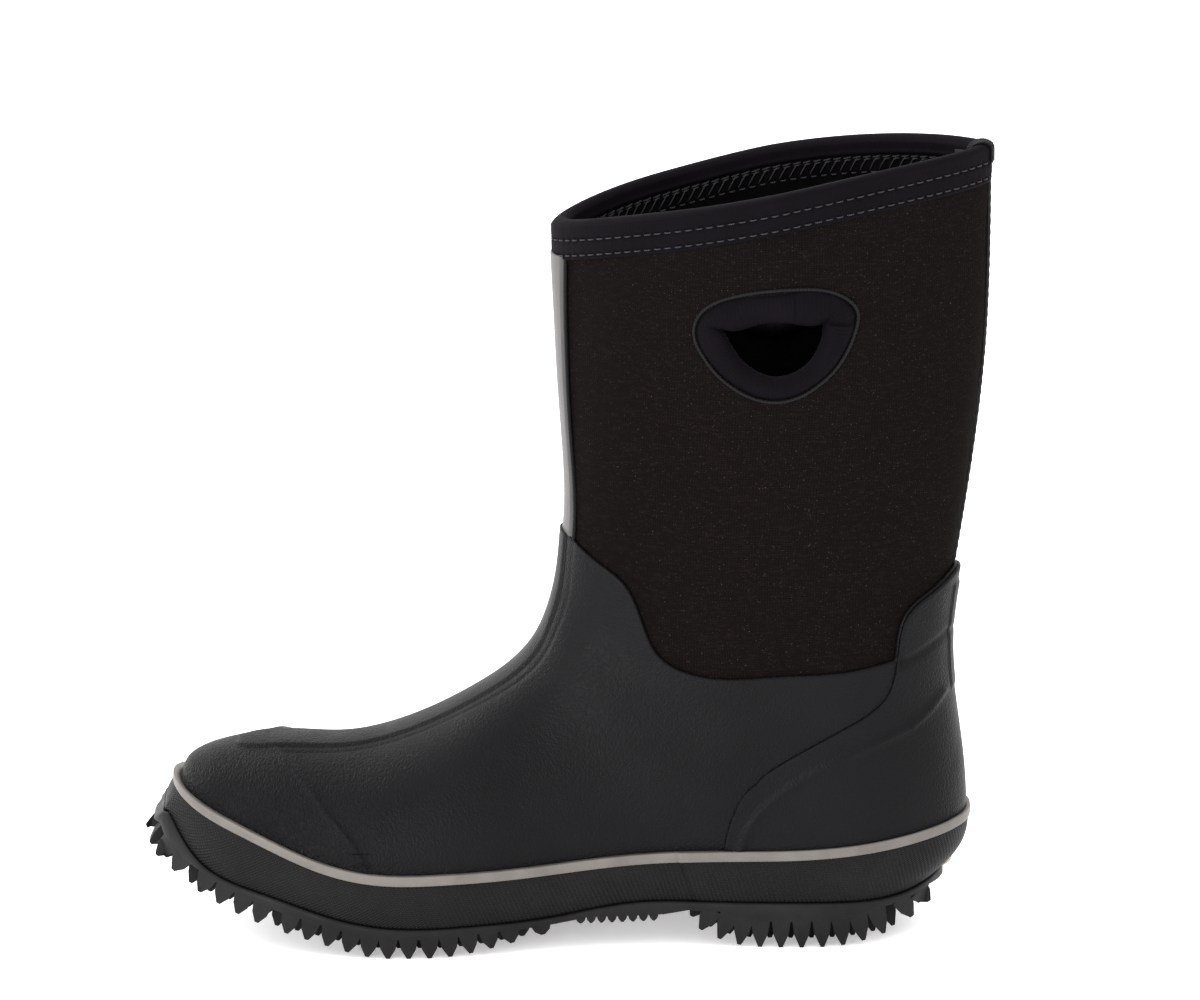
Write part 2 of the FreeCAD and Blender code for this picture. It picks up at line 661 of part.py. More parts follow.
def slot_sketch(body, length, width):
    """A rounded slot outline on the body's XY plane, its sizes bound to the sheet."""
    sketch = body.newObject("Sketcher::SketchObject", body.Name + "_sketch")
    sketch.AttachmentSupport = (body_plane(body, "XY_Plane"), [""])
    sketch.MapMode = "FlatFace"
    half = (size(length) - size(width)) / 2
    radius = size(width) / 2
    up = Vector(0, 0, 1)
    for end, start_angle in ((half, -math.pi / 2), (-half, math.pi / 2)):
        circle = Part.Circle(Vector(end, 0, 0), up, radius)
        sketch.addGeometry(Part.ArcOfCircle(circle, start_angle, start_angle + math.pi))
    sketch.addGeometry(Part.LineSegment(Vector(-half, -radius, 0), Vector(half, -radius, 0)))
    sketch.addGeometry(Part.LineSegment(Vector(half, radius, 0), Vector(-half, radius, 0)))
    for first, first_end, second, second_end in ((2, 2, 0, 1), (0, 2, 3, 1), (3, 2, 1, 1), (1, 2, 2, 1)):
        sketch.addConstraint(Sketcher.Constraint("Tangent", first, first_end, second, second_end))
    sketch.addConstraint(Sketcher.Constraint("Horizontal", 2))
    sketch.addConstraint(Sketcher.Constraint("Symmetric", 0, 3, 1, 3, -1, 1))
    radius_rule = sketch.addConstraint(Sketcher.Constraint("Radius", 0, radius))
    reach_rule = sketch.addConstraint(Sketcher.Constraint("DistanceX", 1, 3, 0, 3, 2 * half))
    sketch.setExpression(f"Constraints[{radius_rule}]", f"dimensions.{width} / 2")
    sketch.setExpression(f"Constraints[{reach_rule}]", f"dimensions.{length} - dimensions.{width}")
    return sketch


def padded_body(body, length, width, thickness, place):
    """A flat slot-shaped piece."""
    sketch = slot_sketch(body, length, width)
    pad = body.newObject("PartDesign::Pad", body.Name + "_pad")
    pad.Profile = sketch
    pad.setExpression("Length", f"dimensions.{thickness}")
    doc.recompute()
    body.Placement = place


shank_turn = FreeCAD.Rotation(Vector(0, 1, 0), size("shank_slope"))
padded_body(
    shank, "shank_length", "shank_width", "shank_thick",
    FreeCAD.Placement(
        Vector(size("shank_x"), size("shank_y"), size("shank_z") - size("shank_thick")), shank_turn,
    ),
)
padded_body(
    filler, "filler_length", "filler_width", "filler_thick",
    FreeCAD.Placement(
        Vector(size("filler_x"), size("filler_y"), size("filler_z")), FreeCAD.Rotation(),
    ),
)
midsole_block = common("midsole_block", sole_core, below_board)
midsole = cut("midsole", midsole_block, fuse("midsole_inserts", shank, filler))
insole_board = common("insole_board", envelope(PANEL_OUTSIDE), above_board, below_board_top)

# ---- the removable footbed ------------------------------------------------------------------------

FOOTBED_DEPTH = LINING_INSIDE + size("footbed_clearance")
foam_bottom = LINING_INSIDE + GAP
foam_top = foam_bottom + size("foam_thick")
above_foam = region("above_foam", [raised(FLOOR_LINE, foam_bottom)], SKY)
below_foam = region("below_foam", [raised(FLOOR_LINE, foam_top)], UNDER)
above_cloth = region("above_cloth", [raised(FLOOR_LINE, foam_top)], SKY)
below_cloth = region("below_cloth", [raised(FLOOR_LINE, foam_top + size("cloth_thick"))], UNDER)
footbed_end = size("footbed_start") + size("footbed_length")
footbed_block = side_block(
    "footbed_block", size("footbed_start"), footbed_end, 0, size("footbed_height")
)
footbed_shape = common("footbed_shape", envelope(FOOTBED_DEPTH), footbed_block)
footbed_foam = common("footbed_foam", footbed_shape, above_foam, below_foam)
footbed_cloth = common("footbed_cloth", footbed_shape, above_cloth, below_cloth)

# ---- check and write ------------------------------------------------------------------------------

NODES = (
    "outsole", "midsole", "shank", "heel_filler", "insole_board", "footbed_foam", "footbed_cloth",
    "foxing_band", "foxing_stripe", "rubber_vamp", "instep_strip", "heel_counter_cover", "toe_puff",
    "heel_stiffener", "foot_bootie", "foot_lining", "inner_panel", "outer_panel", "shaft_lining",
    "front_strip", "inner_seam_cord", "outer_seam_cord", "back_seam_tape", "collar_binding",
    "collar_back_tab", "inner_handle_rim", "outer_handle_rim", "inner_handle_piping",
    "outer_handle_piping",
)

doc.recompute()
for item in doc.Objects:
    if "Invalid" in item.State or "Error" in item.State:
        raise RuntimeError(f"{item.Label} failed: {item.State}")

os.makedirs("parts", exist_ok=True)
for node in NODES:
    item = doc.getObject(node)
    shape = item.Shape
    if shape.isNull() or not shape.isValid() or not shape.Solids:
        raise RuntimeError(f"{node} has no valid solid")
    shape.exportStep(os.path.join("parts", node + ".step"))
    box = shape.BoundBox
    print(f"{node}: {len(shape.Solids)} solid, {shape.Volume:.0f} mm3")
    spans = ((box.XMin, box.XMax), (box.YMin, box.YMax), (box.ZMin, box.ZMax))
    print("  " + ", ".join(f"{low:.1f} to {high:.1f}" for low, high in spans))
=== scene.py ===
import math

import bpy
import numpy as np
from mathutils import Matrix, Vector


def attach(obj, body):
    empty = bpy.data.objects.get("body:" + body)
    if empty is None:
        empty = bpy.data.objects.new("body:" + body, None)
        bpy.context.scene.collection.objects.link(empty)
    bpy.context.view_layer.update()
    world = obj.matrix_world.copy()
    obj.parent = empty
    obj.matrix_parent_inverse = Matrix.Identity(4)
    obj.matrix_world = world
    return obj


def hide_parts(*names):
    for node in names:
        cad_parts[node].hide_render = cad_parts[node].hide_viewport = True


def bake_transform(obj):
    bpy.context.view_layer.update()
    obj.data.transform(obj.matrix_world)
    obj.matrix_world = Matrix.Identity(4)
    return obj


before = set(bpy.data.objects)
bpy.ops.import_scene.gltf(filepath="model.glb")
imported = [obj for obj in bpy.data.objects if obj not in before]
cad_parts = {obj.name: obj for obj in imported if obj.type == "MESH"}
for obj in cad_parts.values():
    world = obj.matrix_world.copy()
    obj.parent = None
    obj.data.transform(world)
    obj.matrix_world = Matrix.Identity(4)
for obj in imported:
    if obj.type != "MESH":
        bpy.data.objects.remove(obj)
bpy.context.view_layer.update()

MM = 0.001
TURN = 2 * math.pi

# ---------------------------------------------------------------------------------------------------
# The boot's envelope, in millimetres: the same sections as the CAD frame.
# Columns: front x, z; back x, z; inner and outer half-width; widest place; squareness of the front and
# of the back; share of the depth by which a section moves along the boot.
# ---------------------------------------------------------------------------------------------------
STATIONS = np.array((
    (-142.5, 61.0, -151.0, 33.0, 15.0, 4.0, 0.50, 2.4, 2.4, 1.0),
    (-140.5, 63.6, -147.5, 21.0, 21.0, 12.5, 0.50, 2.4, 2.6, 0.85),
    (-134.5, 66.6, -139.5, 12.0, 27.5, 22.0, 0.47, 2.4, 3.0, 0.6),
    (-124.0, 69.8, -127.0, 5.0, 34.0, 31.5, 0.42, 2.3, 3.0, 0.35),
    (-108.0, 72.4, -108.0, -2.0, 39.5, 41.0, 0.40, 2.3, 3.2, 0.15),
    (-84.0, 71.9, -84.0, -8.0, 44.3, 45.2, 0.40, 2.3, 3.2, 0.0),
    (-57.0, 78.4, -57.0, -8.0, 45.8, 46.4, 0.38, 2.2, 3.2, 0.0),
    (-36.0, 88.9, -25.0, -8.0, 43.0, 45.0, 0.38, 2.2, 3.2, 0.0),
    (-23.0, 97.8, 12.0, -6.0, 38.0, 41.5, 0.42, 2.2, 3.0, 0.0),
    (-13.0, 108.6, 55.0, -5.0, 35.0, 39.5, 0.48, 2.2, 2.7, 0.0),
    (-7.2, 121.2, 102.0, -4.0, 36.0, 38.5, 0.48, 2.2, 2.6, 0.0),
    (-4.6, 131.0, 136.0, 6.0, 36.0, 37.5, 0.46, 2.2, 2.5, 0.0),
    (-3.2, 141.0, 147.6, 34.0, 36.0, 37.0, 0.47, 2.2, 2.4, 0.0),
    (-2.4, 151.0, 147.9, 58.0, 36.0, 37.0, 0.48, 2.2, 2.3, 0.0),
    (-1.7, 162.0, 145.0, 82.0, 36.5, 37.5, 0.50, 2.15, 2.2, 0.0),
    (-1.9, 175.0, 142.4, 108.0, 37.5, 38.0, 0.50, 2.1, 2.1, 0.0),
    (-3.0, 192.0, 145.6, 140.0, 39.0, 39.5, 0.50, 2.1, 2.0, 0.0),
    (-4.5, 214.0, 151.6, 180.0, 41.0, 41.0, 0.50, 2.0, 1.95, 0.0),
    (-5.6, 236.0, 156.0, 222.0, 43.0, 43.0, 0.50, 1.9, 1.8, 0.0),
    (-6.6, 256.0, 157.4, 262.0, 44.8, 44.8, 0.50, 1.75, 1.62, 0.0),
    (-7.0, 272.0, 157.5, 302.0, 45.8, 45.8, 0.50, 1.68, 1.5, 0.0),
    (-7.2, 290.0, 157.5, 322.0, 46.0, 46.0, 0.50, 1.68, 1.5, 0.0),
))

# Depths of the layers below the envelope, and how far the counter's cover stands out of it.
RUBBER_INSIDE = 1.7
COUNTER_OUTSIDE = 1.3
PANEL_OUTSIDE = 2.0
PANEL_INSIDE = 6.5
LINING_INSIDE = 7.5

COLLAR_LINE = (
    (-25, 264), (-5, 270.8), (22, 277.9), (44, 282.4), (66, 287), (110, 295), (158, 300), (185, 301),
)
VAMP_EDGE = (
    (-30, 156), (-1.7, 153.7), (9, 146.5), (20, 139), (27.3, 124.4), (34, 111.5), (44.8, 105.8),
    (79, 105), (106, 106), (122.2, 108.7),
)
COUNTER_TOP = ((122.2, 108.7), (122.9, 116), (126.7, 126.7), (137.4, 134.1), (144.1, 138.5), (175, 143))
COUNTER_FRONT = ((122.2, 108.7), (119.2, 97.3), (104, 85.4), (79.8, 71.8), (66, 60), (60, 47), (56, 22))
SPLIT_LINE = (
    (-30, 141), (4, 135), (17, 122), (27, 104), (42, 93), (79, 91), (112, 94), (128, 108), (175, 126),
)
STRIPE_LINE = (
    (-175, 76), (-152, 62.5), (-141.6, 55), (-120, 45.1),
    (-91.7, 33.9), (-74, 30.2), (-45, 29.9), (-19.5, 31),
    (23, 34.6), (56, 36), (87.6, 36.4), (117.7, 39), (146.8, 43.8), (175, 48),
)
FOXING_BOTTOM = (
    (-175, 66), (-151, 50), (-145.6, 40.8), (-138, 31.5), (-113, 21.9), (-84.6, 14), (-66, 11.4), (-36, 11.4),
    (-5, 12.8), (23, 16.8), (50, 17.2), (100, 17), (131, 19.3), (144, 24.5), (175, 40),
)
FLOOR_LINE = (
    (-175, 58), (-150, 43), (-139, 36), (-120, 27.5), (-98, 19.8),
    (-75, 15.6), (-40, 15.4), (0, 17.8), (40, 21.6),
    (75, 24), (110, 24.6), (175, 26),
)
SOLE_OUTLINE = (
    (-156.3, -4), (-153, -14), (-146, -22), (-134, -32),
    (-120, -38.8), (-99, -45), (-70, -49.9), (-46, -49.2),
    (-5, -39), (23, -34.5), (49, -34), (81, -36), (108, -33.5), (124, -26.5), (136, -14), (141, 1), (137, 16),
    (124, 29), (105, 36.5), (70, 39.5), (30, 41), (0, 44), (-30, 48.6), (-60, 50.2), (-90, 48.7), (-118, 42),
    (-137, 31), (-150, 16),
)
# The hand hole in the side view: the piping around its roll, and the opening that the roll leaves.
HANDLE_CENTRE = np.array((76.0, 235.0))
OUTER_HOLE_LIFT = 3.0
HOLE_TUCK = 0.6
HANDLE_PIPING = (
    (46.6, 239.0), (50.0, 245.6), (59.5, 250.8), (73, 253.6),
    (85, 254.2), (95, 253.2), (102, 250), (106.4, 244.6),
    (105.9, 238.4), (103.2, 231), (99, 224), (92, 217.2),
    (84.5, 212.8), (77, 211.2), (69, 212.4), (62, 215.8),
    (55, 221.4), (50, 228), (47.0, 234),
)
HANDLE_OPENING = (
    (55.8, 239.8), (59.5, 241.2), (66, 240.9), (75, 241.2),
    (85, 242.4), (92.4, 243.6), (93.6, 238.4), (91.8, 230.5),
    (87.5, 224.4), (81.5, 221.0), (75.5, 220.2), (69, 222.6), (63, 227.8), (58.4, 234.4),
)

# Raised and sunk lines of the moulding, in the side view.
TOE_CAP_LINE = ((-110, 71), (-102, 66), (-95, 59), (-88, 51), (-80, 42), (-73, 30))
COUNTER_RIDGE = (
    (139, 94.5), (132, 87.5), (117.7, 80.5), (102.5, 74), (87.2, 65.8), (75.7, 57), (68.5, 49), (63, 36),
)
COUNTER_VALLEY = ((141, 116), (134, 112.8), (129, 110.4), (123, 108.6))
JOINT_LINE = ((40.5, 38), (43.5, 29), (48.5, 15.5))


def run_along(points):
    """How far along a line of points each of them lies."""
    return np.concatenate(([0.0], np.cumsum(np.linalg.norm(np.diff(points, axis=0), axis=1))))


def sample(marks, run, points):
    """The points at these distances along a line."""
    return np.stack([np.interp(marks, run, column) for column in points.T], -1)


def cubic(places, values):
    """A natural cubic spline through rows of values; returns a function of the place."""
    places = np.asarray(places, float)
    values = np.asarray(values, float)
    count = len(places)
    gap = np.diff(places)
    slope = np.diff(values, axis=0) / gap[:, None]
    system = np.eye(count)
    right = np.zeros_like(values)
    for row in range(1, count - 1):
        system[row, row - 1] = gap[row - 1]
        system[row, row] = 2 * (gap[row - 1] + gap[row])
        system[row, row + 1] = gap[row]
        right[row] = 6 * (slope[row] - slope[row - 1])
    bend = np.linalg.solve(system, right)

    def evaluate(where):
        where = np.asarray(where, float)
        span = np.clip(np.searchsorted(places, where) - 1, 0, count - 2)
        width = gap[span][..., None]
        near = (places[span + 1] - where)[..., None] / width
        far = 1 - near
        curve = (near ** 3 - near) * bend[span] + (far ** 3 - far) * bend[span + 1]
        return near * values[span] + far * values[span + 1] + curve * width ** 2 / 6

    return evaluate


def power_radius(angle, power):
    return (np.abs(np.cos(angle)) ** power + np.abs(np.sin(angle)) ** power) ** (-1.0 / power)


def place_in(rows, angle, depth):
    """Points of the sections given by rows of station values, at this angle round them and depth."""
    front_x, front_z, back_x, back_z, inner, outer, widest, power_f, power_b, slide = np.moveaxis(rows, -1, 0)
    length = np.hypot(front_x - back_x, front_z - back_z)
    along_x = (front_x - back_x) / length
    along_z = (front_z - back_z) / length
    to_front = np.cos(angle) >= 0
    reach = np.where(to_front, length * (1 - widest), length * widest) - depth
    radius = power_radius(angle, np.where(to_front, power_f, power_b))
    run = length * widest + reach * radius * np.cos(angle)
    x = back_x + along_x * run + slide * depth
    z = back_z + along_z * run
    y = (outer - inner) / 2 - ((outer + inner) / 2 - depth) * radius * np.sin(angle)
    return np.stack(np.broadcast_arrays(x, y, z), -1)


RING = np.linspace(0, TURN, 32, endpoint=False)
MIDDLES = place_in(STATIONS[:, None, :], RING[None, :], 0.0).mean(1)
PLACES = run_along(MIDDLES)
station_at = cubic(PLACES, STATIONS)
END = PLACES[-1]


def place(where, angle, depth=0.0):
    """Points on the envelope: how far along the boot, the angle round it from the front, and the depth."""
    where, angle, depth = np.broadcast_arrays(
        np.asarray(where, float), np.asarray(angle, float), np.asarray(depth, float))
    return place_in(station_at(where), angle, depth)


def outward(where, angle, depth=0.0):
    """Unit normals that point out of the boot."""
    along = place(where + 0.5, angle, depth) - place(where - 0.5, angle, depth)
    around = place(where, angle + 0.01, depth) - place(where, angle - 0.01, depth)
    normal = np.cross(around, along)
    return normal / np.linalg.norm(normal, axis=-1, keepdims=True)


def smooth_path(points, closed=False, count=400):
    """A smooth curve through given points, as many samples of it as asked."""
    points = np.asarray(points, float)
    if closed:
        points = np.concatenate((points[-3:], points, points[:4]))
    steps = run_along(points)
    curve = cubic(steps, points)
    if closed:
        return curve(np.linspace(steps[3], steps[-4], count, endpoint=False))
    return curve(np.linspace(0, steps[-1], count))


def side_line(*lines):
    """The height of a chain of side-view curves as a function of x."""
    samples = np.concatenate([smooth_path(line) for line in lines])
    return lambda x: np.interp(x, samples[:, 0], samples[:, 1])


collar_z = side_line(COLLAR_LINE)
rubber_edge_z = side_line(VAMP_EDGE, COUNTER_TOP)
split_z = side_line(SPLIT_LINE)
stripe_z = side_line(STRIPE_LINE)
foxing_z = side_line(FOXING_BOTTOM)
floor_z = side_line(FLOOR_LINE)

counter_edge = np.concatenate((smooth_path(COUNTER_FRONT)[::-1], smooth_path(COUNTER_TOP)))


def counter_edge_x(z):
    return np.interp(z, counter_edge[:, 1], counter_edge[:, 0])


def distance_to(x, z, line):
    """Distance in the side view to a smooth line, and which side of it each point lies on."""
    samples = smooth_path(line, count=60)
    shape = np.shape(x)
    points = np.stack((np.ravel(x), np.ravel(z)), -1)
    start = samples[:-1]
    step = samples[1:] - start
    best = np.full(len(points), 1e9)
    side = np.zeros(len(points))
    for a, d in zip(start, step):
        rel = points - a
        t = np.clip(rel @ d / (d @ d), 0, 1)
        gap = rel - t[:, None] * d
        length = np.hypot(gap[:, 0], gap[:, 1])
        nearer = length < best
        best = np.where(nearer, length, best)
        side = np.where(nearer, np.sign(d[0] * rel[:, 1] - d[1] * rel[:, 0]), side)
    return best.reshape(shape), side.reshape(shape)


def ease(value, low, high):
    t = np.clip((value - low) / (high - low), 0, 1)
    return t * t * (3 - 2 * t)


FINE = np.linspace(0, END, 900)


def crossings(angle, height, depth=0.0, lift=0.0):
    """For each angle, the last place along the boot where it rises through a side-view line."""
    angle = np.atleast_1d(angle)
    points = place(FINE[None, :], angle[:, None], depth)
    above = points[..., 2] - height(points[..., 0]) - lift
    result = np.zeros(len(angle))
    for index, row in enumerate(above):
        rises = np.nonzero((row[:-1] <= 0) & (row[1:] > 0))[0]
        if len(rises):
            k = rises[-1]
            t = -row[k] / (row[k + 1] - row[k])
            result[index] = FINE[k] + t * (FINE[k + 1] - FINE[k])
        elif row[0] <= 0:
            result[index] = END
    return result


def speed(where, angle, depth=0.0):
    """Millimetres of surface for each unit along the boot."""
    return np.linalg.norm(place(where + 0.5, angle, depth) - place(where - 0.5, angle, depth), axis=-1)


rng = np.random.default_rng(7)
WAVES = rng.normal(size=(14, 3))
WAVES /= np.linalg.norm(WAVES, axis=1, keepdims=True)
WAVE_PHASE = rng.uniform(0, TURN, 14)


def wobble(points, length):
    """A smooth, even unevenness between about -1 and 1, with this wavelength."""
    total = np.zeros(points.shape[:-1])
    for number, (wave, phase) in enumerate(zip(WAVES, WAVE_PHASE)):
        total += np.sin(points @ wave * TURN / (length * (0.7 + 0.06 * number)) + phase)
    return total / 5.0


# ---------------------------------------------------------------------------------------------------
# Meshes
# ---------------------------------------------------------------------------------------------------

def make_mesh(name, points, faces, corner_uv, body, material, slot, smooth=True):
    """A new piece from points in millimetres and a list of faces, riding on a CAD body, or left in world space
    where it crosses the bend.
    It replaces the CAD node of its name, where there is one."""
    mesh = bpy.data.meshes.new(name)
    mesh.from_pydata((np.asarray(points) * MM).tolist(), [], faces)
    layer = mesh.uv_layers.new(name="UVMap")
    layer.data.foreach_set("uv", np.asarray(corner_uv, np.float32).ravel())
    if isinstance(smooth, bool):
        smooth = [smooth] * len(mesh.polygons)
    mesh.polygons.foreach_set("use_smooth", smooth)
    mesh.validate()
    mesh.update()
    piece = bpy.data.objects.new(name, mesh)
    bpy.context.scene.collection.objects.link(piece)
    mesh.materials.append(material)
    if body == BENT:
        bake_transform(piece)
    else:
        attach(piece, body)
    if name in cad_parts:
        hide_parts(name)
    return piece


# Pieces that cross the ankle bend between these two places; the others ride on one body.
BENT = "boot and shaft"


def slab(outer, inner, keep=None, wrap=False):
    """A closed skin from an outer and an inner grid of points: points, faces and uv of each corner.
    keep marks the cells that exist; wrap joins the last column to the first."""
    columns, rows = outer.shape[:2]
    cells = columns if wrap else columns - 1
    if keep is None:
        keep = np.ones((cells, rows - 1), bool)
    around = np.linalg.norm(np.diff(outer, axis=0, append=outer[:1]), axis=-1)
    along = np.linalg.norm(np.diff(outer, axis=1), axis=-1)
    u = np.concatenate((np.zeros((1, rows)), np.cumsum(around, axis=0)))
    u = np.repeat(u.mean(1, keepdims=True), rows, 1)
    v = np.concatenate((np.zeros((columns, 1)), np.cumsum(along, axis=1)), 1)
    v = np.concatenate((v, v[:1]))
    uv = np.stack((u, v), -1)
    points = np.concatenate((outer.reshape(-1, 3), inner.reshape(-1, 3)))
    shift = columns * rows
    j, k = np.nonzero(keep)
    jn = (j + 1) % columns
    corners = np.stack((j * rows + k, jn * rows + k, jn * rows + k + 1, j * rows + k + 1), 1)
    corner_uv = np.stack((uv[j, k], uv[j + 1, k], uv[j + 1, k + 1], uv[j, k + 1]), 1)
    middle = len(j) // 2
    a, b, c = points[corners[middle, :3]]
    out = points[corners[middle, 0]] - points[corners[middle, 0] + shift]
    if np.dot(np.cross(b - a, c - a), out) < 0:
        corners = corners[:, ::-1]
        corner_uv = corner_uv[:, ::-1]
        flipped = True
    else:
        flipped = False
    padded = np.zeros((cells + 2, rows + 1), bool)
    padded[1:-1, 1:-1] = keep
    if wrap:
        padded[0, 1:-1] = keep[-1]
        padded[-1, 1:-1] = keep[0]
    sides = {
        "low_k": ~padded[j + 1, k], "high_j": ~padded[j + 2, k + 1],
        "high_k": ~padded[j + 1, k + 2], "low_j": ~padded[j, k + 1],
    }
    order = ("low_k", "high_j", "high_k", "low_j")
    if flipped:
        order = ("high_k", "high_j", "low_k", "low_j")
    walls = []
    walls_uv = []
    for edge, side in enumerate(order):
        open_side = sides[side]
        first = corners[open_side, edge]
        second = corners[open_side, (edge + 1) % 4]
        walls.append(np.stack((second, first, first + shift, second + shift), 1))
        first_uv = corner_uv[open_side, edge]
        second_uv = corner_uv[open_side, (edge + 1) % 4]
        walls_uv.append(np.stack((second_uv, first_uv, first_uv, second_uv), 1))
    faces = np.concatenate([corners, corners[:, ::-1] + shift] + walls)
    uvs = np.concatenate([corner_uv, corner_uv[:, ::-1]] + walls_uv)
    used = np.unique(faces)
    renumber = np.zeros(len(points), int)
    renumber[used] = np.arange(len(used))
    return points[used], renumber[faces].tolist(), uvs.reshape(-1, 2)


def torus(grid, wrap_rows=True):
    """A closed skin from a grid of points that wraps round in both directions, or has flat ends."""
    columns, rows = grid.shape[:2]
    around = np.linalg.norm(np.diff(grid, axis=0, append=grid[:1]), axis=-1)
    along = np.linalg.norm(np.diff(grid, axis=1, append=grid[:, :1]), axis=-1)
    u = np.concatenate(([0.0], np.cumsum(around.mean(1))))
    v = np.concatenate(([0.0], np.cumsum(along.mean(0))))
    uv = np.stack(np.meshgrid(u, v, indexing="ij"), -1)
    cells = columns if wrap_rows else columns - 1
    j, k = [part.ravel() for part in np.meshgrid(np.arange(cells), np.arange(rows), indexing="ij")]
    jn = (j + 1) % columns
    kn = (k + 1) % rows
    faces = np.stack((j * rows + k, jn * rows + k, jn * rows + kn, j * rows + kn), 1)
    corner_uv = np.stack((uv[j, k], uv[j + 1, k], uv[j + 1, k + 1], uv[j, k + 1]), 1)
    points = grid.reshape(-1, 3)
    a, b, c = points[faces[:, 0]], points[faces[:, 1]], points[faces[:, 3]]
    volume = np.einsum("ij,ij->i", np.cross(b - a, c - a), a - points.mean(0)).sum()
    faces_list = faces.tolist()
    corner_list = corner_uv.reshape(-1, 2).tolist()
    if not wrap_rows:
        faces_list.append(list(range(rows)))
        faces_list.append([(columns - 1) * rows + k for k in reversed(range(rows))])
        corner_list += [(0.0, 0.0)] * (2 * rows)
    if volume < 0:
        flipped = []
        flipped_uv = []
        cursor = 0
        for face in faces_list:
            flipped.append(face[::-1])
            flipped_uv += corner_list[cursor:cursor + len(face)][::-1]
            cursor += len(face)
        faces_list, corner_list = flipped, flipped_uv
    return points, faces_list, corner_list


def tube(path, radius, sides=8, closed=True, normals=None, squash=1.0):
    """A round tube along a path of points; radius may change along it. normals aim its flat side."""
    path = np.asarray(path, float)
    if closed:
        tangent = np.roll(path, -1, 0) - np.roll(path, 1, 0)
    else:
        tangent = np.gradient(path, axis=0)
    tangent /= np.linalg.norm(tangent, axis=1, keepdims=True)
    if normals is None:
        normals = np.tile((0.0, 1.0, 0.0), (len(path), 1))
    side = np.cross(tangent, normals)
    side /= np.linalg.norm(side, axis=1, keepdims=True)
    up = np.cross(side, tangent)
    turn = np.linspace(0, TURN, sides, endpoint=False)
    radius = np.broadcast_to(radius, (len(path),))
    squash = np.broadcast_to(squash, (len(path),))[:, None, None]
    grid = path[:, None] + radius[:, None, None] * (
        side[:, None] * np.cos(turn)[None, :, None] + up[:, None] * np.sin(turn)[None, :, None] * squash)
    return torus(grid, wrap_rows=closed)


def joined(parts):
    """Several sets of points, faces and uvs as one."""
    points, faces, uvs, shift = [], [], [], 0
    for part_points, part_faces, part_uv in parts:
        points.append(np.asarray(part_points))
        faces += [[index + shift for index in face] for face in part_faces]
        uvs.append(np.asarray(part_uv, float).reshape(-1, 2))
        shift += len(part_points)
    return np.concatenate(points), faces, np.concatenate(uvs)


def even_steps(path, pitch):
    """A closed path's points again at an even pitch, with the true pitch that fits a whole number."""
    loop = np.concatenate((path, path[:1]))
    run = run_along(loop)
    marks = np.linspace(0, run[-1], round(run[-1] / pitch), endpoint=False)
    return sample(marks, run, loop)


# ---------------------------------------------------------------------------------------------------
# Materials
# ---------------------------------------------------------------------------------------------------

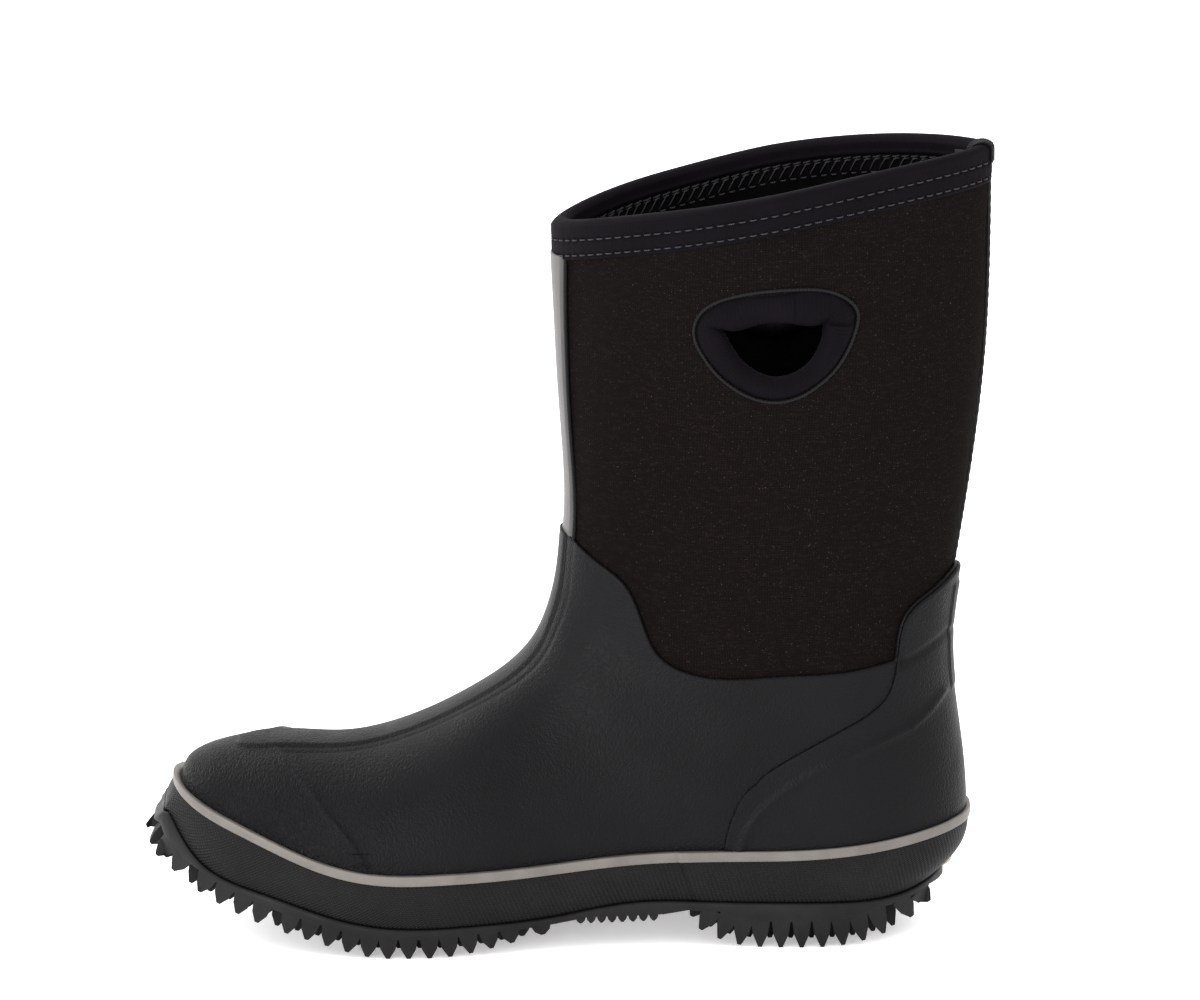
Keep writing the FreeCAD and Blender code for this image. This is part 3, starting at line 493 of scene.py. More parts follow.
class Nodes:
    """A small helper that builds one material's node tree."""

    def __init__(self, name, color, roughness, specular=0.5, metallic=0.0):
        self.material = bpy.data.materials.new(name)
        self.material.use_nodes = True
        self.tree = self.material.node_tree
        self.shader = self.tree.nodes["Principled BSDF"]
        self.shader.inputs["Base Color"].default_value = (*color, 1)
        self.shader.inputs["Roughness"].default_value = roughness
        self.shader.inputs["Specular IOR Level"].default_value = specular
        self.shader.inputs["Metallic"].default_value = metallic
        self.coordinates = self.tree.nodes.new("ShaderNodeTexCoord")
        self.normal = None

    def node(self, kind, **settings):
        made = self.tree.nodes.new(kind)
        for key, value in settings.items():
            setattr(made, key, value)
        return made

    def link(self, output, socket):
        self.tree.links.new(output, socket)

    def space(self, scale=(1, 1, 1), turn=0.0, source="Object"):
        """Texture coordinates in units of 1 / scale metres, or millimetres where the source is UV."""
        mapping = self.node("ShaderNodeMapping")
        mapping.inputs["Scale"].default_value = scale
        mapping.inputs["Rotation"].default_value = (0, 0, turn)
        self.link(self.coordinates.outputs[source], mapping.inputs["Vector"])
        return mapping.outputs["Vector"]

    def noise(self, scale, detail=3.0, rough=0.55, stretch=(1, 1, 1)):
        made = self.node("ShaderNodeTexNoise")
        made.inputs["Scale"].default_value = scale
        made.inputs["Detail"].default_value = detail
        made.inputs["Roughness"].default_value = rough
        self.link(self.space(stretch), made.inputs["Vector"])
        return made.outputs["Fac"]

    def voronoi(self, scale):
        made = self.node("ShaderNodeTexVoronoi", feature="F1")
        made.inputs["Scale"].default_value = scale
        self.link(self.space(), made.inputs["Vector"])
        return made.outputs["Distance"]

    def wave(self, scale, distortion=0.0, turn=0.0, direction="X"):
        made = self.node(
            "ShaderNodeTexWave", wave_type="BANDS", bands_direction=direction, wave_profile="SIN")
        made.inputs["Scale"].default_value = scale
        made.inputs["Distortion"].default_value = distortion
        made.inputs["Detail"].default_value = 1.0
        self.link(self.space(turn=turn, source="UV"), made.inputs["Vector"])
        return made.outputs["Fac"]

    def math(self, kind, first, second):
        made = self.node("ShaderNodeMath", operation=kind)
        for socket, value in zip(made.inputs, (first, second)):
            if isinstance(value, (int, float)):
                socket.default_value = value
            else:
                self.link(value, socket)
        return made.outputs[0]

    def span(self, value, low, high, to_low, to_high):
        made = self.node("ShaderNodeMapRange")
        self.link(value, made.inputs["Value"])
        for socket, number in zip(("From Min", "From Max", "To Min", "To Max"), (low, high, to_low, to_high)):
            made.inputs[socket].default_value = number
        return made.outputs["Result"]

    def mix(self, factor, first, second):
        made = self.node("ShaderNodeMix", data_type="RGBA")
        if isinstance(factor, (int, float)):
            made.inputs[0].default_value = factor
        else:
            self.link(factor, made.inputs[0])
        for socket, value in ((made.inputs[6], first), (made.inputs[7], second)):
            if isinstance(value, tuple):
                socket.default_value = (*value, 1)
            else:
                self.link(value, socket)
        return made.outputs[2]

    def bump(self, height, distance, strength=1.0):
        made = self.node("ShaderNodeBump")
        made.inputs["Strength"].default_value = strength
        made.inputs["Distance"].default_value = distance
        self.link(height, made.inputs["Height"])
        if self.normal is not None:
            self.link(self.normal, made.inputs["Normal"])
        self.normal = made.outputs["Normal"]
        self.link(self.normal, self.shader.inputs["Normal"])

    def tones(self, pattern, low, high, dark, light):
        """The base colour, from dark to light as the pattern goes from low to high."""
        self.color(self.mix(self.span(pattern, low, high, 0, 1), dark, light))

    def color(self, value):
        self.link(value, self.shader.inputs["Base Color"])

    def roughness(self, value):
        self.link(value, self.shader.inputs["Roughness"])


def grained_rubber():
    """Satin rubber with a fine wavy leather grain, coarser over the toe."""
    look = Nodes("grained_rubber", (0.0045, 0.0043, 0.005), 0.42, 0.085)
    patch = look.noise(18, 4)
    look.tones(patch, 0.3, 0.7, (0.0024, 0.0021, 0.0026), (0.0040, 0.0036, 0.0043))
    look.roughness(look.span(look.noise(55, 5, 0.6), 0.3, 0.75, 0.40, 0.54))
    pebble = look.voronoi(1150)
    ripple = look.noise(1000, 2, 0.5, stretch=(1.3, 0.8, 0.6))
    place_x = look.node("ShaderNodeSeparateXYZ")
    look.link(look.coordinates.outputs["Object"], place_x.inputs[0])
    toe = look.span(place_x.outputs[0], -0.05, -0.11, 0.12, 1.0)
    look.bump(look.span(pebble, 0.0, 0.7, 1, 0), 0.0002, 0.7)
    look.bump(look.math("MULTIPLY", look.span(ripple, 0.38, 0.62, 0, 1), toe), 0.0004, 0.8)
    return look.material


def knurled_rubber():
    """Matt black foxing with a fine diagonal dash pattern."""
    look = Nodes("knurled_rubber", (0.006, 0.0058, 0.0062), 0.5, 0.13)
    rows = look.wave(0.31, turn=math.radians(50))
    dashes = look.wave(0.23, turn=math.radians(145))
    lattice = look.math("MULTIPLY", rows, look.span(dashes, 0.1, 0.6, 0.2, 1.0))
    look.bump(lattice, 0.0004, 0.9)
    dust = look.noise(60, 5, 0.65)
    bloom = look.mix(look.span(dust, 0.45, 0.75, 0, 1), (0.0026, 0.0024, 0.0027), (0.0062, 0.0058, 0.0058))
    look.tones(lattice, 0.3, 1.0, bloom, (0.0105, 0.0099, 0.0103))
    look.roughness(look.span(lattice, 0, 1, 0.62, 0.42))
    return look.material


def stripe_rubber():
    """Warm grey rubber stripe, slightly scuffed."""
    look = Nodes("stripe_rubber", (0.2, 0.185, 0.165), 0.5, 0.4)
    scuff = look.noise(90, 5, 0.65)
    look.tones(scuff, 0.3, 0.75, (0.088, 0.079, 0.07), (0.128, 0.117, 0.105))
    look.roughness(look.span(scuff, 0.3, 0.7, 0.42, 0.6))
    look.bump(look.noise(600, 3), 0.00015, 0.5)
    return look.material


def sole_rubber():
    """Moulded sole rubber with a dusty bloom and small scratches."""
    look = Nodes("sole_rubber", (0.008, 0.0077, 0.0084), 0.5, 0.14)
    bloom = look.noise(35, 6, 0.65)
    look.tones(bloom, 0.4, 0.75, (0.0042, 0.0039, 0.0044), (0.0105, 0.0099, 0.0099))
    look.roughness(look.span(look.noise(120, 4), 0.3, 0.7, 0.4, 0.62))
    look.bump(look.noise(900, 3, 0.6), 0.0002, 0.5)
    return look.material


def neoprene():
    """Brownish black knit face: fine rows of stitches, light flecks."""
    look = Nodes("neoprene_knit", (0.006, 0.0046, 0.0045), 0.95, 0.03)
    rows = look.wave(0.36, distortion=0.6, direction="Y")
    wales = look.wave(0.30, distortion=0.8)
    knit = look.math("MULTIPLY", rows, wales)
    fleck = look.noise(1500, 2, 0.7)
    slub = look.noise(260, 4, 0.65, stretch=(1, 1, 4))
    tone = look.mix(look.span(knit, 0, 1, 0, 1), (0.0032, 0.0023, 0.0022), (0.0066, 0.0049, 0.0047))
    tone = look.mix(look.span(slub, 0.5, 0.75, 0, 0.5), tone, (0.011, 0.0083, 0.0074))
    tone = look.mix(look.span(fleck, 0.66, 0.76, 0, 0.9), tone, (0.055, 0.044, 0.037))
    look.color(tone)
    look.bump(knit, 0.00028, 0.7)
    look.bump(look.noise(700, 3, 0.7), 0.00018, 0.6)
    return look.material


def binding_knit():
    """Smooth, slightly violet black stretch fabric."""
    look = Nodes("binding_knit", (0.005, 0.0038, 0.0058), 0.8, 0.045)
    ribs = look.wave(0.55, distortion=0.3)
    look.bump(ribs, 0.00014, 0.6)
    look.bump(look.noise(900, 3), 0.00014, 0.5)
    cloud = look.noise(70, 4)
    look.tones(cloud, 0.3, 0.7, (0.0018, 0.0012, 0.0021), (0.0036, 0.0026, 0.0041))
    look.roughness(look.span(cloud, 0.3, 0.7, 0.68, 0.82))
    return look.material


def satin_tape():
    """Light grey woven satin tape."""
    look = Nodes("satin_tape", (0.11, 0.104, 0.098), 0.4, 0.4)
    weave = look.wave(0.9, direction="Y")
    look.bump(weave, 0.0001, 0.5)
    cloud = look.noise(80, 4)
    look.tones(cloud, 0.3, 0.7, (0.033, 0.031, 0.03), (0.048, 0.0455, 0.043))
    look.roughness(look.span(weave, 0, 1, 0.34, 0.46))
    return look.material


def twisted(name, color, specular, dark, light):
    """A twisted thread or cord."""
    look = Nodes(name, color, 0.6, specular)
    twist = look.wave(0.5, turn=math.radians(35))
    look.bump(twist, 0.0002, 0.8)
    look.color(look.mix(twist, dark, light))
    look.roughness(look.span(twist, 0, 1, 0.65, 0.5))
    return look.material


def jersey():
    """Matt black lining jersey."""
    look = Nodes("jersey_lining", (0.0022, 0.0018, 0.0022), 0.95, 0.03)
    knit = look.math("MULTIPLY", look.wave(0.4, direction="Y"), look.wave(0.33))
    look.bump(knit, 0.0002, 0.6)
    look.tones(look.noise(120, 4), 0.3, 0.7, (0.0016, 0.0013, 0.0016), (0.0030, 0.0025, 0.0030))
    look.roughness(look.span(knit, 0, 1, 0.98, 0.88))
    return look.material


def speckled(name, dark, light, roughness, scale, bump):
    """A plain material with an uneven tone and a grain of its own scale."""
    look = Nodes(name, light, roughness, 0.2)
    cloud = look.noise(scale, 5, 0.65)
    look.tones(cloud, 0.3, 0.7, dark, light)
    look.roughness(look.span(cloud, 0.3, 0.7, roughness - 0.08, roughness + 0.08))
    look.bump(look.noise(scale * 6, 3), bump, 0.6)
    return look.material


def brushed_steel():
    look = Nodes("brushed_steel", (0.5, 0.5, 0.51), 0.35, metallic=1.0)
    streak = look.noise(500, 3, stretch=(0.03, 1, 1))
    look.roughness(look.span(streak, 0.3, 0.7, 0.28, 0.45))
    look.tones(streak, 0.3, 0.7, (0.42, 0.42, 0.43), (0.58, 0.58, 0.59))
    look.bump(streak, 0.00005, 0.5)
    return look.material


RUBBER = grained_rubber()
FOXING = knurled_rubber()
STRIPE = stripe_rubber()
SOLE = sole_rubber()
NEOPRENE = neoprene()
BINDING = binding_knit()
TAPE = satin_tape()
CORD = twisted("black_cord", (0.004, 0.0036, 0.0038), 0.14, (0.0022, 0.002, 0.0022), (0.0075, 0.007, 0.0073))
JERSEY = jersey()
THREAD = twisted("seam_thread", (0.05, 0.047, 0.05), 0.2, (0.016, 0.015, 0.017), (0.04, 0.038, 0.041))
# The inner rows' lugs get a much darker rubber than the sole: painted shade of the deep grooves between them,
# and no dust bloom.
SHADED_TREAD = speckled("tread_rubber_painted_shade", (0.0012, 0.0011, 0.0012), (0.003, 0.0028, 0.003), 0.7, 60, 0.0001)
PATCH = speckled("woven_patch", (0.008, 0.008, 0.008), (0.02, 0.0195, 0.019), 0.8, 900, 0.0002)
FOOTBED = speckled("footbed_cloth", (0.016, 0.016, 0.018), (0.03, 0.03, 0.033), 0.9, 260, 0.0002)
FOAM = speckled("foam", (0.07, 0.07, 0.075), (0.11, 0.11, 0.115), 0.85, 300, 0.0003)
BOARD = speckled("fibre_board", (0.30, 0.24, 0.17), (0.42, 0.35, 0.25), 0.85, 160, 0.0002)
SHEET = speckled("thermo_sheet", (0.55, 0.54, 0.50), (0.66, 0.65, 0.61), 0.6, 120, 0.0001)
STEEL = brushed_steel()


def repaint(node, material):
    """Gives a CAD node that stays its finished material."""
    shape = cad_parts[node]
    if not shape.material_slots:
        shape.data.materials.append(material)
    for slot_ in shape.material_slots:
        slot_.link = "OBJECT"
        slot_.material = material


for node, material in (
    ("shank", STEEL), ("heel_filler", FOAM), ("insole_board", BOARD),
    ("toe_puff", SHEET), ("heel_stiffener", SHEET),
):
    repaint(node, material)

# ---------------------------------------------------------------------------------------------------
# The rubber foot
# ---------------------------------------------------------------------------------------------------

BACKWARDS = np.linspace(0, TURN, 720, endpoint=False)


def rows_between(low, high, count):
    """Places between two ends for each column."""
    t = np.linspace(0, 1, count)
    return low[:, None] + (high - low)[:, None] * t[None, :]


def rounded_drop(gap, radius, sunk):
    """Extra depth this close to a sheet's edge, so that the edge looks rounded."""
    return sunk * (1 - np.sqrt(np.clip(1 - (1 - np.clip(gap / radius, 0, 1)) ** 2, 0, 1)))


STRIP_HALF, STRIP_LINE = 9.8, 13.2      # half-widths of the instep strip and of the sunk line around it
STRIP_START = 14.0                      # the strip's round end over the toe is this long


def vamp_relief(points):
    """Height of the moulded lines on the vamp, outward."""
    x, y, z = np.moveaxis(points, -1, 0)
    gap, side = distance_to(x, z, TOE_CAP_LINE)
    ridge = 0.8 * np.exp(-(gap / 1.1) ** 2)
    signed = gap * side
    step = 0.35 * ease(-signed, -1.5, 1.5) * ease(x, -150, -110) * ease(-x, 60, 75)
    on_top = ease(z, 60, 68) * ease(-x, -8, 6)
    line = np.abs(np.abs(y - strip_middle(x)) - STRIP_LINE)
    groove = -0.35 * np.exp(-(line / 0.9) ** 2) * on_top * ease(x, -118, -100)
    toe = 1.6 * np.exp(-((x + 136) / 15) ** 2) * ease(z, 50, 62)
    return ridge * ease(x, -113, -106) + step + groove + toe + 0.16 * wobble(points, 46.0)


def strip_middle(x):
    """The instep strip leans a little towards the inner side over the toe."""
    return -3.0 * ease(-x, 40, 125)


def make_vamp():
    angle = BACKWARDS
    low = crossings(angle, stripe_z, lift=-7.0)
    high = crossings(angle, rubber_edge_z)
    where = rows_between(low, high, 300)
    column = angle[:, None]
    relief = vamp_relief(place(where, column))
    drop = rounded_drop((high[:, None] - where) * speed(where, column), 1.0, 0.6)
    outer = place(where, column, drop - relief)
    inner = place(where, column, RUBBER_INSIDE)
    make_mesh("rubber_vamp", *slab(outer, inner, wrap=True), BENT, RUBBER, "upper_rubber")


def make_toe_end():
    """The vamp's blunt front end, most of it behind the foxing."""
    angle = BACKWARDS[::4]
    base = place(np.zeros_like(angle), angle)
    ring = place(np.zeros_like(angle), angle, -vamp_relief(base))
    middle = ring.mean(0)
    back = place(np.full_like(angle, 3.0), angle).mean(0)
    forward = (middle - back) / np.linalg.norm(middle - back)
    share = np.linspace(0.02, 1.0, 16)
    outer = middle + (ring - middle)[:, None] * share[None, :, None]
    outer = outer + forward * (1.6 * (1 - share ** 2))[None, :, None]
    make_mesh("vamp_toe_end", *slab(outer, outer - forward * 1.5, wrap=True), "boot", RUBBER, "upper_rubber")


def counter_relief(points):
    x, y, z = np.moveaxis(points, -1, 0)
    gap, side = distance_to(x, z, COUNTER_RIDGE)
    ridge = 0.75 * np.exp(-(gap / 1.7) ** 2)
    low_gap, _ = distance_to(x, z, COUNTER_VALLEY)
    valley = -0.7 * np.exp(-(low_gap / 1.6) ** 2)
    strip = 0.7 * ease(9.5 - np.abs(y), 0, 1.8) * ease(z, 92, 96) * ease(134.5 - z, 0, 2.0)
    return ridge + valley + strip + 0.1 * wobble(points, 38.0)


def make_counter():
    angle = np.linspace(math.radians(30), math.radians(330), 900)
    points = place(FINE[None, :], angle[:, None])
    x, z = points[..., 0], points[..., 2]
    inside = (x > counter_edge_x(z)) & (z > stripe_z(x) - 4.0) & (z < 143)
    spans = []
    for row, (xs, zs) in enumerate(zip(x, z)):
        hits = np.nonzero(inside[row])[0]
        if len(hits) < 3:
            continue
        first, last = hits[0], hits[-1]

        def refine(k, step):
            """The crossing between sample k, inside, and its neighbour, outside."""
            n = k + step
            edge_gap = [xs[i] - counter_edge_x(zs[i]) for i in (k, n)]
            line_gap = [zs[i] - stripe_z(xs[i]) + 4.0 for i in (k, n)]
            t = 1.0
            for near, far in (edge_gap, line_gap):
                if far < 0 < near:
                    t = min(t, near / (near - far))
            return FINE[k] + t * (FINE[n] - FINE[k])

        spans.append((angle[row], refine(first, -1), refine(last, 1)))
    angle, low, high = np.array(spans).T
    where = rows_between(low, high, 240)
    column = angle[:, None]
    base = place(where, column)
    relief = counter_relief(base)
    x, z = base[..., 0], base[..., 2]
    gap, _ = distance_to(x, z, tuple(map(tuple, counter_edge[::24])))
    drop = rounded_drop(gap, 0.6, 0.45)
    outer = place(where, column, -COUNTER_OUTSIDE + drop - relief)
    inner = place(where, column, 0.05)
    make_mesh("heel_counter_cover", *slab(outer, inner), BENT, RUBBER, "upper_rubber")


def angle_at_side(where, offset, depth, front=True):
    """The angle at which each section is this far across from the middle, near the front or the back."""
    centre = 0.0 if front else math.pi
    fan = centre + np.linspace(-1.35, 1.35, 400)
    y = place(where[:, None], fan[None, :], depth)[..., 1]
    result = np.zeros((len(where), len(offset.T)))
    for row in range(len(where)):
        order = np.argsort(y[row])
        result[row] = np.interp(offset[row], y[row][order], fan[order])
    return result


def make_instep_strip():
    top = crossings(np.array([0.0]), rubber_edge_z)[0]
    start = PLACES[3]
    where = np.linspace(start, top - 1.2, 260)
    across = np.linspace(-1, 1, 40)
    x_front = place(where, 0.0)[:, 0]
    half = STRIP_HALF * np.sqrt(np.clip(1 - np.clip(1 - (where - start) / STRIP_START, 0, 1) ** 2, 0.02, 1))
    offset = strip_middle(x_front)[:, None] + half[:, None] * across[None, :]
    angle = angle_at_side(where, offset, 0.0)
    rim = np.clip((1 - np.abs(across)) * STRIP_HALF / 2.2, 0, 1)
    ends = np.clip((where - start) / 2.5, 0, 1)
    ends = np.minimum(ends, np.clip((top - where) / 2.5, 0, 1))
    lift = 0.85 * ease(rim, 0, 1)[None, :] * ease(ends, 0, 1)[:, None]
    base = place(where[:, None], angle)
    relief = vamp_relief(base)
    outer = place(where[:, None], angle, -0.02 - relief - lift)
    inner = place(where[:, None], angle, 0.6 - relief)
    make_mesh("instep_strip", *slab(outer, inner), BENT, RUBBER, "upper_rubber")


# ---------------------------------------------------------------------------------------------------
# Foxing, stripe and sole
# ---------------------------------------------------------------------------------------------------

def closed_line(height, depth, lift=0.0, bulge=1.2):
    """The loop on the envelope at a side-view line, closed across the flat of the toe."""
    angle = np.linspace(0, TURN, 1441)[1:-1]
    place_s = crossings(angle, height, depth, lift)
    points = place(place_s, angle, depth)
    points = points[place_s > 0.02]
    start, end = points[-1], points[0]
    t = np.linspace(0, 1, 26)[1:-1, None]
    bridge = start + (end - start) * t
    bridge[:, 0] = start[0] - bulge * np.sin(math.pi * t[:, 0]) ** 0.7
    bridge[:, 2] = height(bridge[:, 0]) + lift
    loop = np.concatenate((points, bridge))
    tip = np.argmin(loop[:, 0])
    return np.roll(loop, -tip, 0)


def resample(loop, count):
    """Even steps along each side: from the toe's tip to the heel's end and back."""
    heel = np.argmax(loop[:, 0])
    halves = []
    for part in (loop[:heel + 1], np.concatenate((loop[heel:], loop[:1]))):
        run = run_along(part)
        marks = np.linspace(0, run[-1], count // 2, endpoint=False)
        halves.append(sample(marks, run, part))
    return np.concatenate(halves)


def soften(loop, times=6):
    for _ in range(times):
        loop = (np.roll(loop, 1, 0) + 2 * loop + np.roll(loop, -1, 0)) / 4
    return loop


def plan_outward(loop):
    """Unit normals of a closed loop in the plan view, pointing out."""
    tangent = np.roll(loop, -1, 0) - np.roll(loop, 1, 0)
    normal = np.stack((tangent[:, 1], -tangent[:, 0], np.zeros(len(loop))), -1)
    normal /= np.linalg.norm(normal, axis=1, keepdims=True)
    middle = loop.mean(0)
    if np.sum((loop - middle) * normal) < 0:
        normal = -normal
    return normal


LOOP = 1500


# The outsole's top edge over the toe, and its front edge there: heights, and the x of the edge at each.
TOE_TOP = 47.6
TOE_SLOPE = ((36.0, 40.5, 47.0, 50.0), (-170.0, -156.4, -151.4, -149.5))


def outline_loop(inset):
    """The sole's outline from above, moved in by this much, from the toe's tip by the inner side."""
    loop = smooth_path(SOLE_OUTLINE, closed=True, count=3000)
    loop = np.concatenate((loop, np.zeros((len(loop), 1))), 1)
    loop = loop + plan_outward(loop) * -inset
    loop = np.roll(loop, -np.argmin(loop[:, 0]), 0)
    return resample(loop, LOOP)


def joint_step(points):
    """Height of the overlap where the foxing's two ends meet on the inner side."""
    x, y, z = np.moveaxis(points, -1, 0)
    gap, side = distance_to(x, z, JOINT_LINE)
    near = (y < 0) & (gap < 40)
    ahead = gap * side
    step = 0.55 * ease(ahead, -0.25, 0.25) * ease(26 - ahead, 0, 24)
    return np.where(near, step - 0.35 * np.exp(-(gap / 0.5) ** 2), 0.0)


def make_foxing():
    top = soften(resample(closed_line(stripe_z, -2.4, -1.7), LOOP))
    inner_top = soften(resample(closed_line(stripe_z, 0.3, -1.7), LOOP))
    bottom, inner_bottom = outline_loop(1.5), outline_loop(4.6)
    for loop, margin in ((bottom, 0.4), (inner_bottom, 3.4)):
        loop[:, 2] = np.minimum(foxing_z(loop[:, 0]), TOE_TOP)
        loop[:, 0] = np.maximum(loop[:, 0], np.interp(loop[:, 2], *TOE_SLOPE) + margin)
    rows = 22
    t = np.linspace(0, 1, rows)
    outer = bottom[:, None] * (1 - t)[None, :, None] + top[:, None] * t[None, :, None]
    inner = inner_bottom[:, None] * (1 - t)[None, :, None] + inner_top[:, None] * t[None, :, None]
    normal = plan_outward(top)
    fullness = 0.5 + 3.0 * ease(top[:, 0], 118, 150) + 0.3 * ease(-top[:, 0], 125, 150)
    swell = fullness[:, None] * np.sin(math.pi * t ** 0.9)[None, :] + joint_step(outer)
    swell += -0.5 * ease(0.06 - t, 0, 0.06)[None, :]
    outer = outer + normal[:, None] * swell[..., None]
    make_mesh("foxing_band", *slab(outer, inner, wrap=True), "boot", FOXING, "foxing_rubber")


def make_stripe():
    path = soften(resample(closed_line(stripe_z, -2.4), LOOP))
    back = soften(resample(closed_line(stripe_z, 0.4), LOOP))
    normal = plan_outward(path)
    lift = joint_step(path)
    profile = []
    half = 1.85
    for turn in np.linspace(-90, 90, 13):
        profile.append((0.35 + 0.35 * math.cos(math.radians(turn)), half * math.sin(math.radians(turn))))
    face = np.array(profile)
    front = path[:, None] + normal[:, None] * (face[:, 0][None, :, None] + lift[:, None, None])
    front[..., 2] += face[:, 1][None, :]
    behind = np.stack((back, back), 1)
    behind[:, 0, 2] += half * 0.92
    behind[:, 1, 2] -= half * 0.92
    grid = np.concatenate((front, behind), 1)
    make_mesh("foxing_stripe", *torus(grid), "boot", STRIPE, "stripe_rubber")


# The line that the lugs' tips stand on, in the side view: forefoot from the arch to the toe, heel back.
FRONT_GROUND = (
    (-1.4, 7.6), (-10, 6.0), (-25, 3.1), (-36, 1.2), (-47, 0.1), (-57, 0), (-68, 0), (-77, 0.9), (-84.6, 2.7),
    (-99.2, 6.4), (-113.3, 10.2), (-127, 15.2), (-140.4, 21.2), (-152, 28.5), (-157, 34), (-159.5, 40),
)
HEEL_GROUND = (
    (43, 10.5), (49, 6.6), (57, 2.6), (66, 0.4), (74, 0),
    (95, 0), (105, 0.7), (115, 2.7), (125, 6.0), (134, 11.0),
    (138.5, 14.5),
)
ARCH_GROUND = ((1.0, 9.6), (18, 9.4), (36.1, 9.8))
FRONT_DEPTH, HEEL_DEPTH, ARCH_DEPTH = 7.5, 10.2, 2.6
GROOVE_PITCH, GROOVE_WIDTH = 13.0, 3.6
LUG_PROFILE = (
    (-0.46, 1.12), (-0.44, 0.95), (-0.36, 0.5), (-0.09, 0.0),
    (0.09, 0.0), (0.36, 0.5), (0.44, 0.95), (0.46, 1.12),
)

outline_edge = smooth_path(SOLE_OUTLINE, closed=True, count=3000)


def outline_span(x):
    """The y of the inner and of the outer edge of the sole at this x."""
    rel = outline_edge[:, 0] - np.clip(x, -156.0, 140.8)
    crossed = np.nonzero(rel * np.roll(rel, -1) < 0)[0]
    ys = []
    for k in crossed:
        n = (k + 1) % len(outline_edge)
        t = rel[k] / (rel[k] - rel[n])
        ys.append(outline_edge[k, 1] * (1 - t) + outline_edge[n, 1] * t)
    return min(ys), max(ys)


SPAN_X = np.linspace(-156.2, 141.0, 500)
SPAN_Y = np.array([outline_span(x) for x in SPAN_X])


class Ground:
    """A run of lugs: the line of their tips, with the depth that the sole leaves for them."""

    def __init__(self, line, depth, pitch):
        self.points = smooth_path(line, count=600)
        self.run = run_along(self.points)
        self.count = max(1, round(self.run[-1] / pitch))
        self.pitch = self.run[-1] / self.count
        self.depth = depth

    def at(self, distance):
        """The point, the upward normal and the lug depth, this far along the line."""
        x, z = sample(distance, self.run, self.points)
        ahead = sample(distance + 1, self.run, self.points)
        behind = sample(distance - 1, self.run, self.points)
        along = (ahead - behind) / np.linalg.norm(ahead - behind)
        normal = np.array((-along[1], along[0]))
        normal *= np.sign(normal[1])
        room = float(foxing_z(x)) - 2.6 - z
        return np.array((x, z)), along, normal, min(self.depth, max(1.4, room))

    def roots(self):
        """The sole's underside between the lugs, as x and z."""
        line = []
        for distance in np.linspace(0, self.run[-1], 80):
            point, _, normal, depth = self.at(distance)
            line.append(point + normal * depth)
        return np.array(line)


FRONT = Ground(FRONT_GROUND, FRONT_DEPTH, 7.65)
HEEL = Ground(HEEL_GROUND, HEEL_DEPTH, 7.7)
ARCH = Ground(ARCH_GROUND, ARCH_DEPTH, 3.9)


def root_height():
    line = np.concatenate((FRONT.roots(), ARCH.roots(), HEEL.roots()))
    line = line[np.argsort(line[:, 0])]
    return lambda x: np.interp(x, line[:, 0], line[:, 1])


root_z = root_height()


def lug(ground, middle, y_low, y_high, at_low_edge, at_high_edge):
    """One lug: steep flanks from its root to a shoulder, then a blunt tip; its outer end is flush."""
    rings = []
    origin, along, normal, depth = ground.at(middle)
    profile = [
        origin + along * share * ground.pitch + normal * depth * height for share, height in LUG_PROFILE
    ]
    heights = [height for _, height in LUG_PROFILE]
    for y, edge, inward in ((y_low, at_low_edge, 1), (y_high, at_high_edge, -1)):
        ring = []
        for (x, z), height in zip(profile, heights):
            pull = 0.9 * (1 - min(height, 1.0)) + 0.15
            if edge:
                limit = np.interp(x, SPAN_X, SPAN_Y[:, 0 if inward > 0 else 1])
                ring.append((x, limit + inward * (0.1 + 1.1 * (1 - min(height, 1.0))), z))
            else:
                ring.append((x, y + inward * pull, z))
        rings.append(ring)
    count = len(profile)
    points = np.array(rings[0] + rings[1])
    faces = [list(range(count))[::-1], list(range(count, 2 * count))]
    for k in range(count):
        n = (k + 1) % count
        faces.append([k, n, count + n, count + k])
    centre = points.mean(0)
    a, b, c = points[faces[0][0]], points[faces[0][1]], points[faces[0][3]]
    if np.dot(np.cross(b - a, c - a), (a + c) / 2 - centre) < 0:
        faces = [face[::-1] for face in faces]
    return points, faces, [(0.0, 0.0)] * sum(len(face) for face in faces)


def lug_rows(ground):
    """All the lugs of one run: rows between grooves, alternate rows half a pitch on, cut to the outline."""
    edge_parts, inner_parts = [], []
    for row in range(-5, 5):
        row_low = row * GROOVE_PITCH + GROOVE_WIDTH / 2
        row_high = (row + 1) * GROOVE_PITCH - GROOVE_WIDTH / 2
        shift = 0.5 if row % 2 else 0.0
        for number in range(ground.count - (1 if shift else 0)):
            middle = (number + 0.5 + shift) * ground.pitch
            origin, _, normal, depth = ground.at(middle)
            x = origin[0] + normal[0] * depth
            low, high = (np.interp(x, SPAN_X, SPAN_Y[:, side]) for side in range(2))
            start, end = max(row_low, low), min(row_high, high)
            if end - start < 2.5:
                continue
            at_low = start == low or start - low < 4.0
            at_high = end == high or high - end < 4.0
            start = low if at_low else start
            end = high if at_high else end
            chosen = edge_parts if at_low or at_high else inner_parts
            chosen.append(lug(ground, middle, start, end, at_low, at_high))
    return edge_parts, inner_parts


def make_midsole():
    """The foam midsole inside the sole's tray and under the board."""
    top = outline_loop(9.0)
    top[:, 2] = floor_z(top[:, 0]) - 1.2
    low = outline_loop(5.5)
    low[:, 2] = np.minimum(foxing_z(low[:, 0]), TOE_TOP) + 0.4
    half = LOOP // 2
    grid = np.stack((low[:half + 1], top[:half + 1], top[::-1][:half + 1], low[::-1][:half + 1]), 1)
    make_mesh("midsole", *torus(grid, wrap_rows=False), "boot", FOAM, "foam")


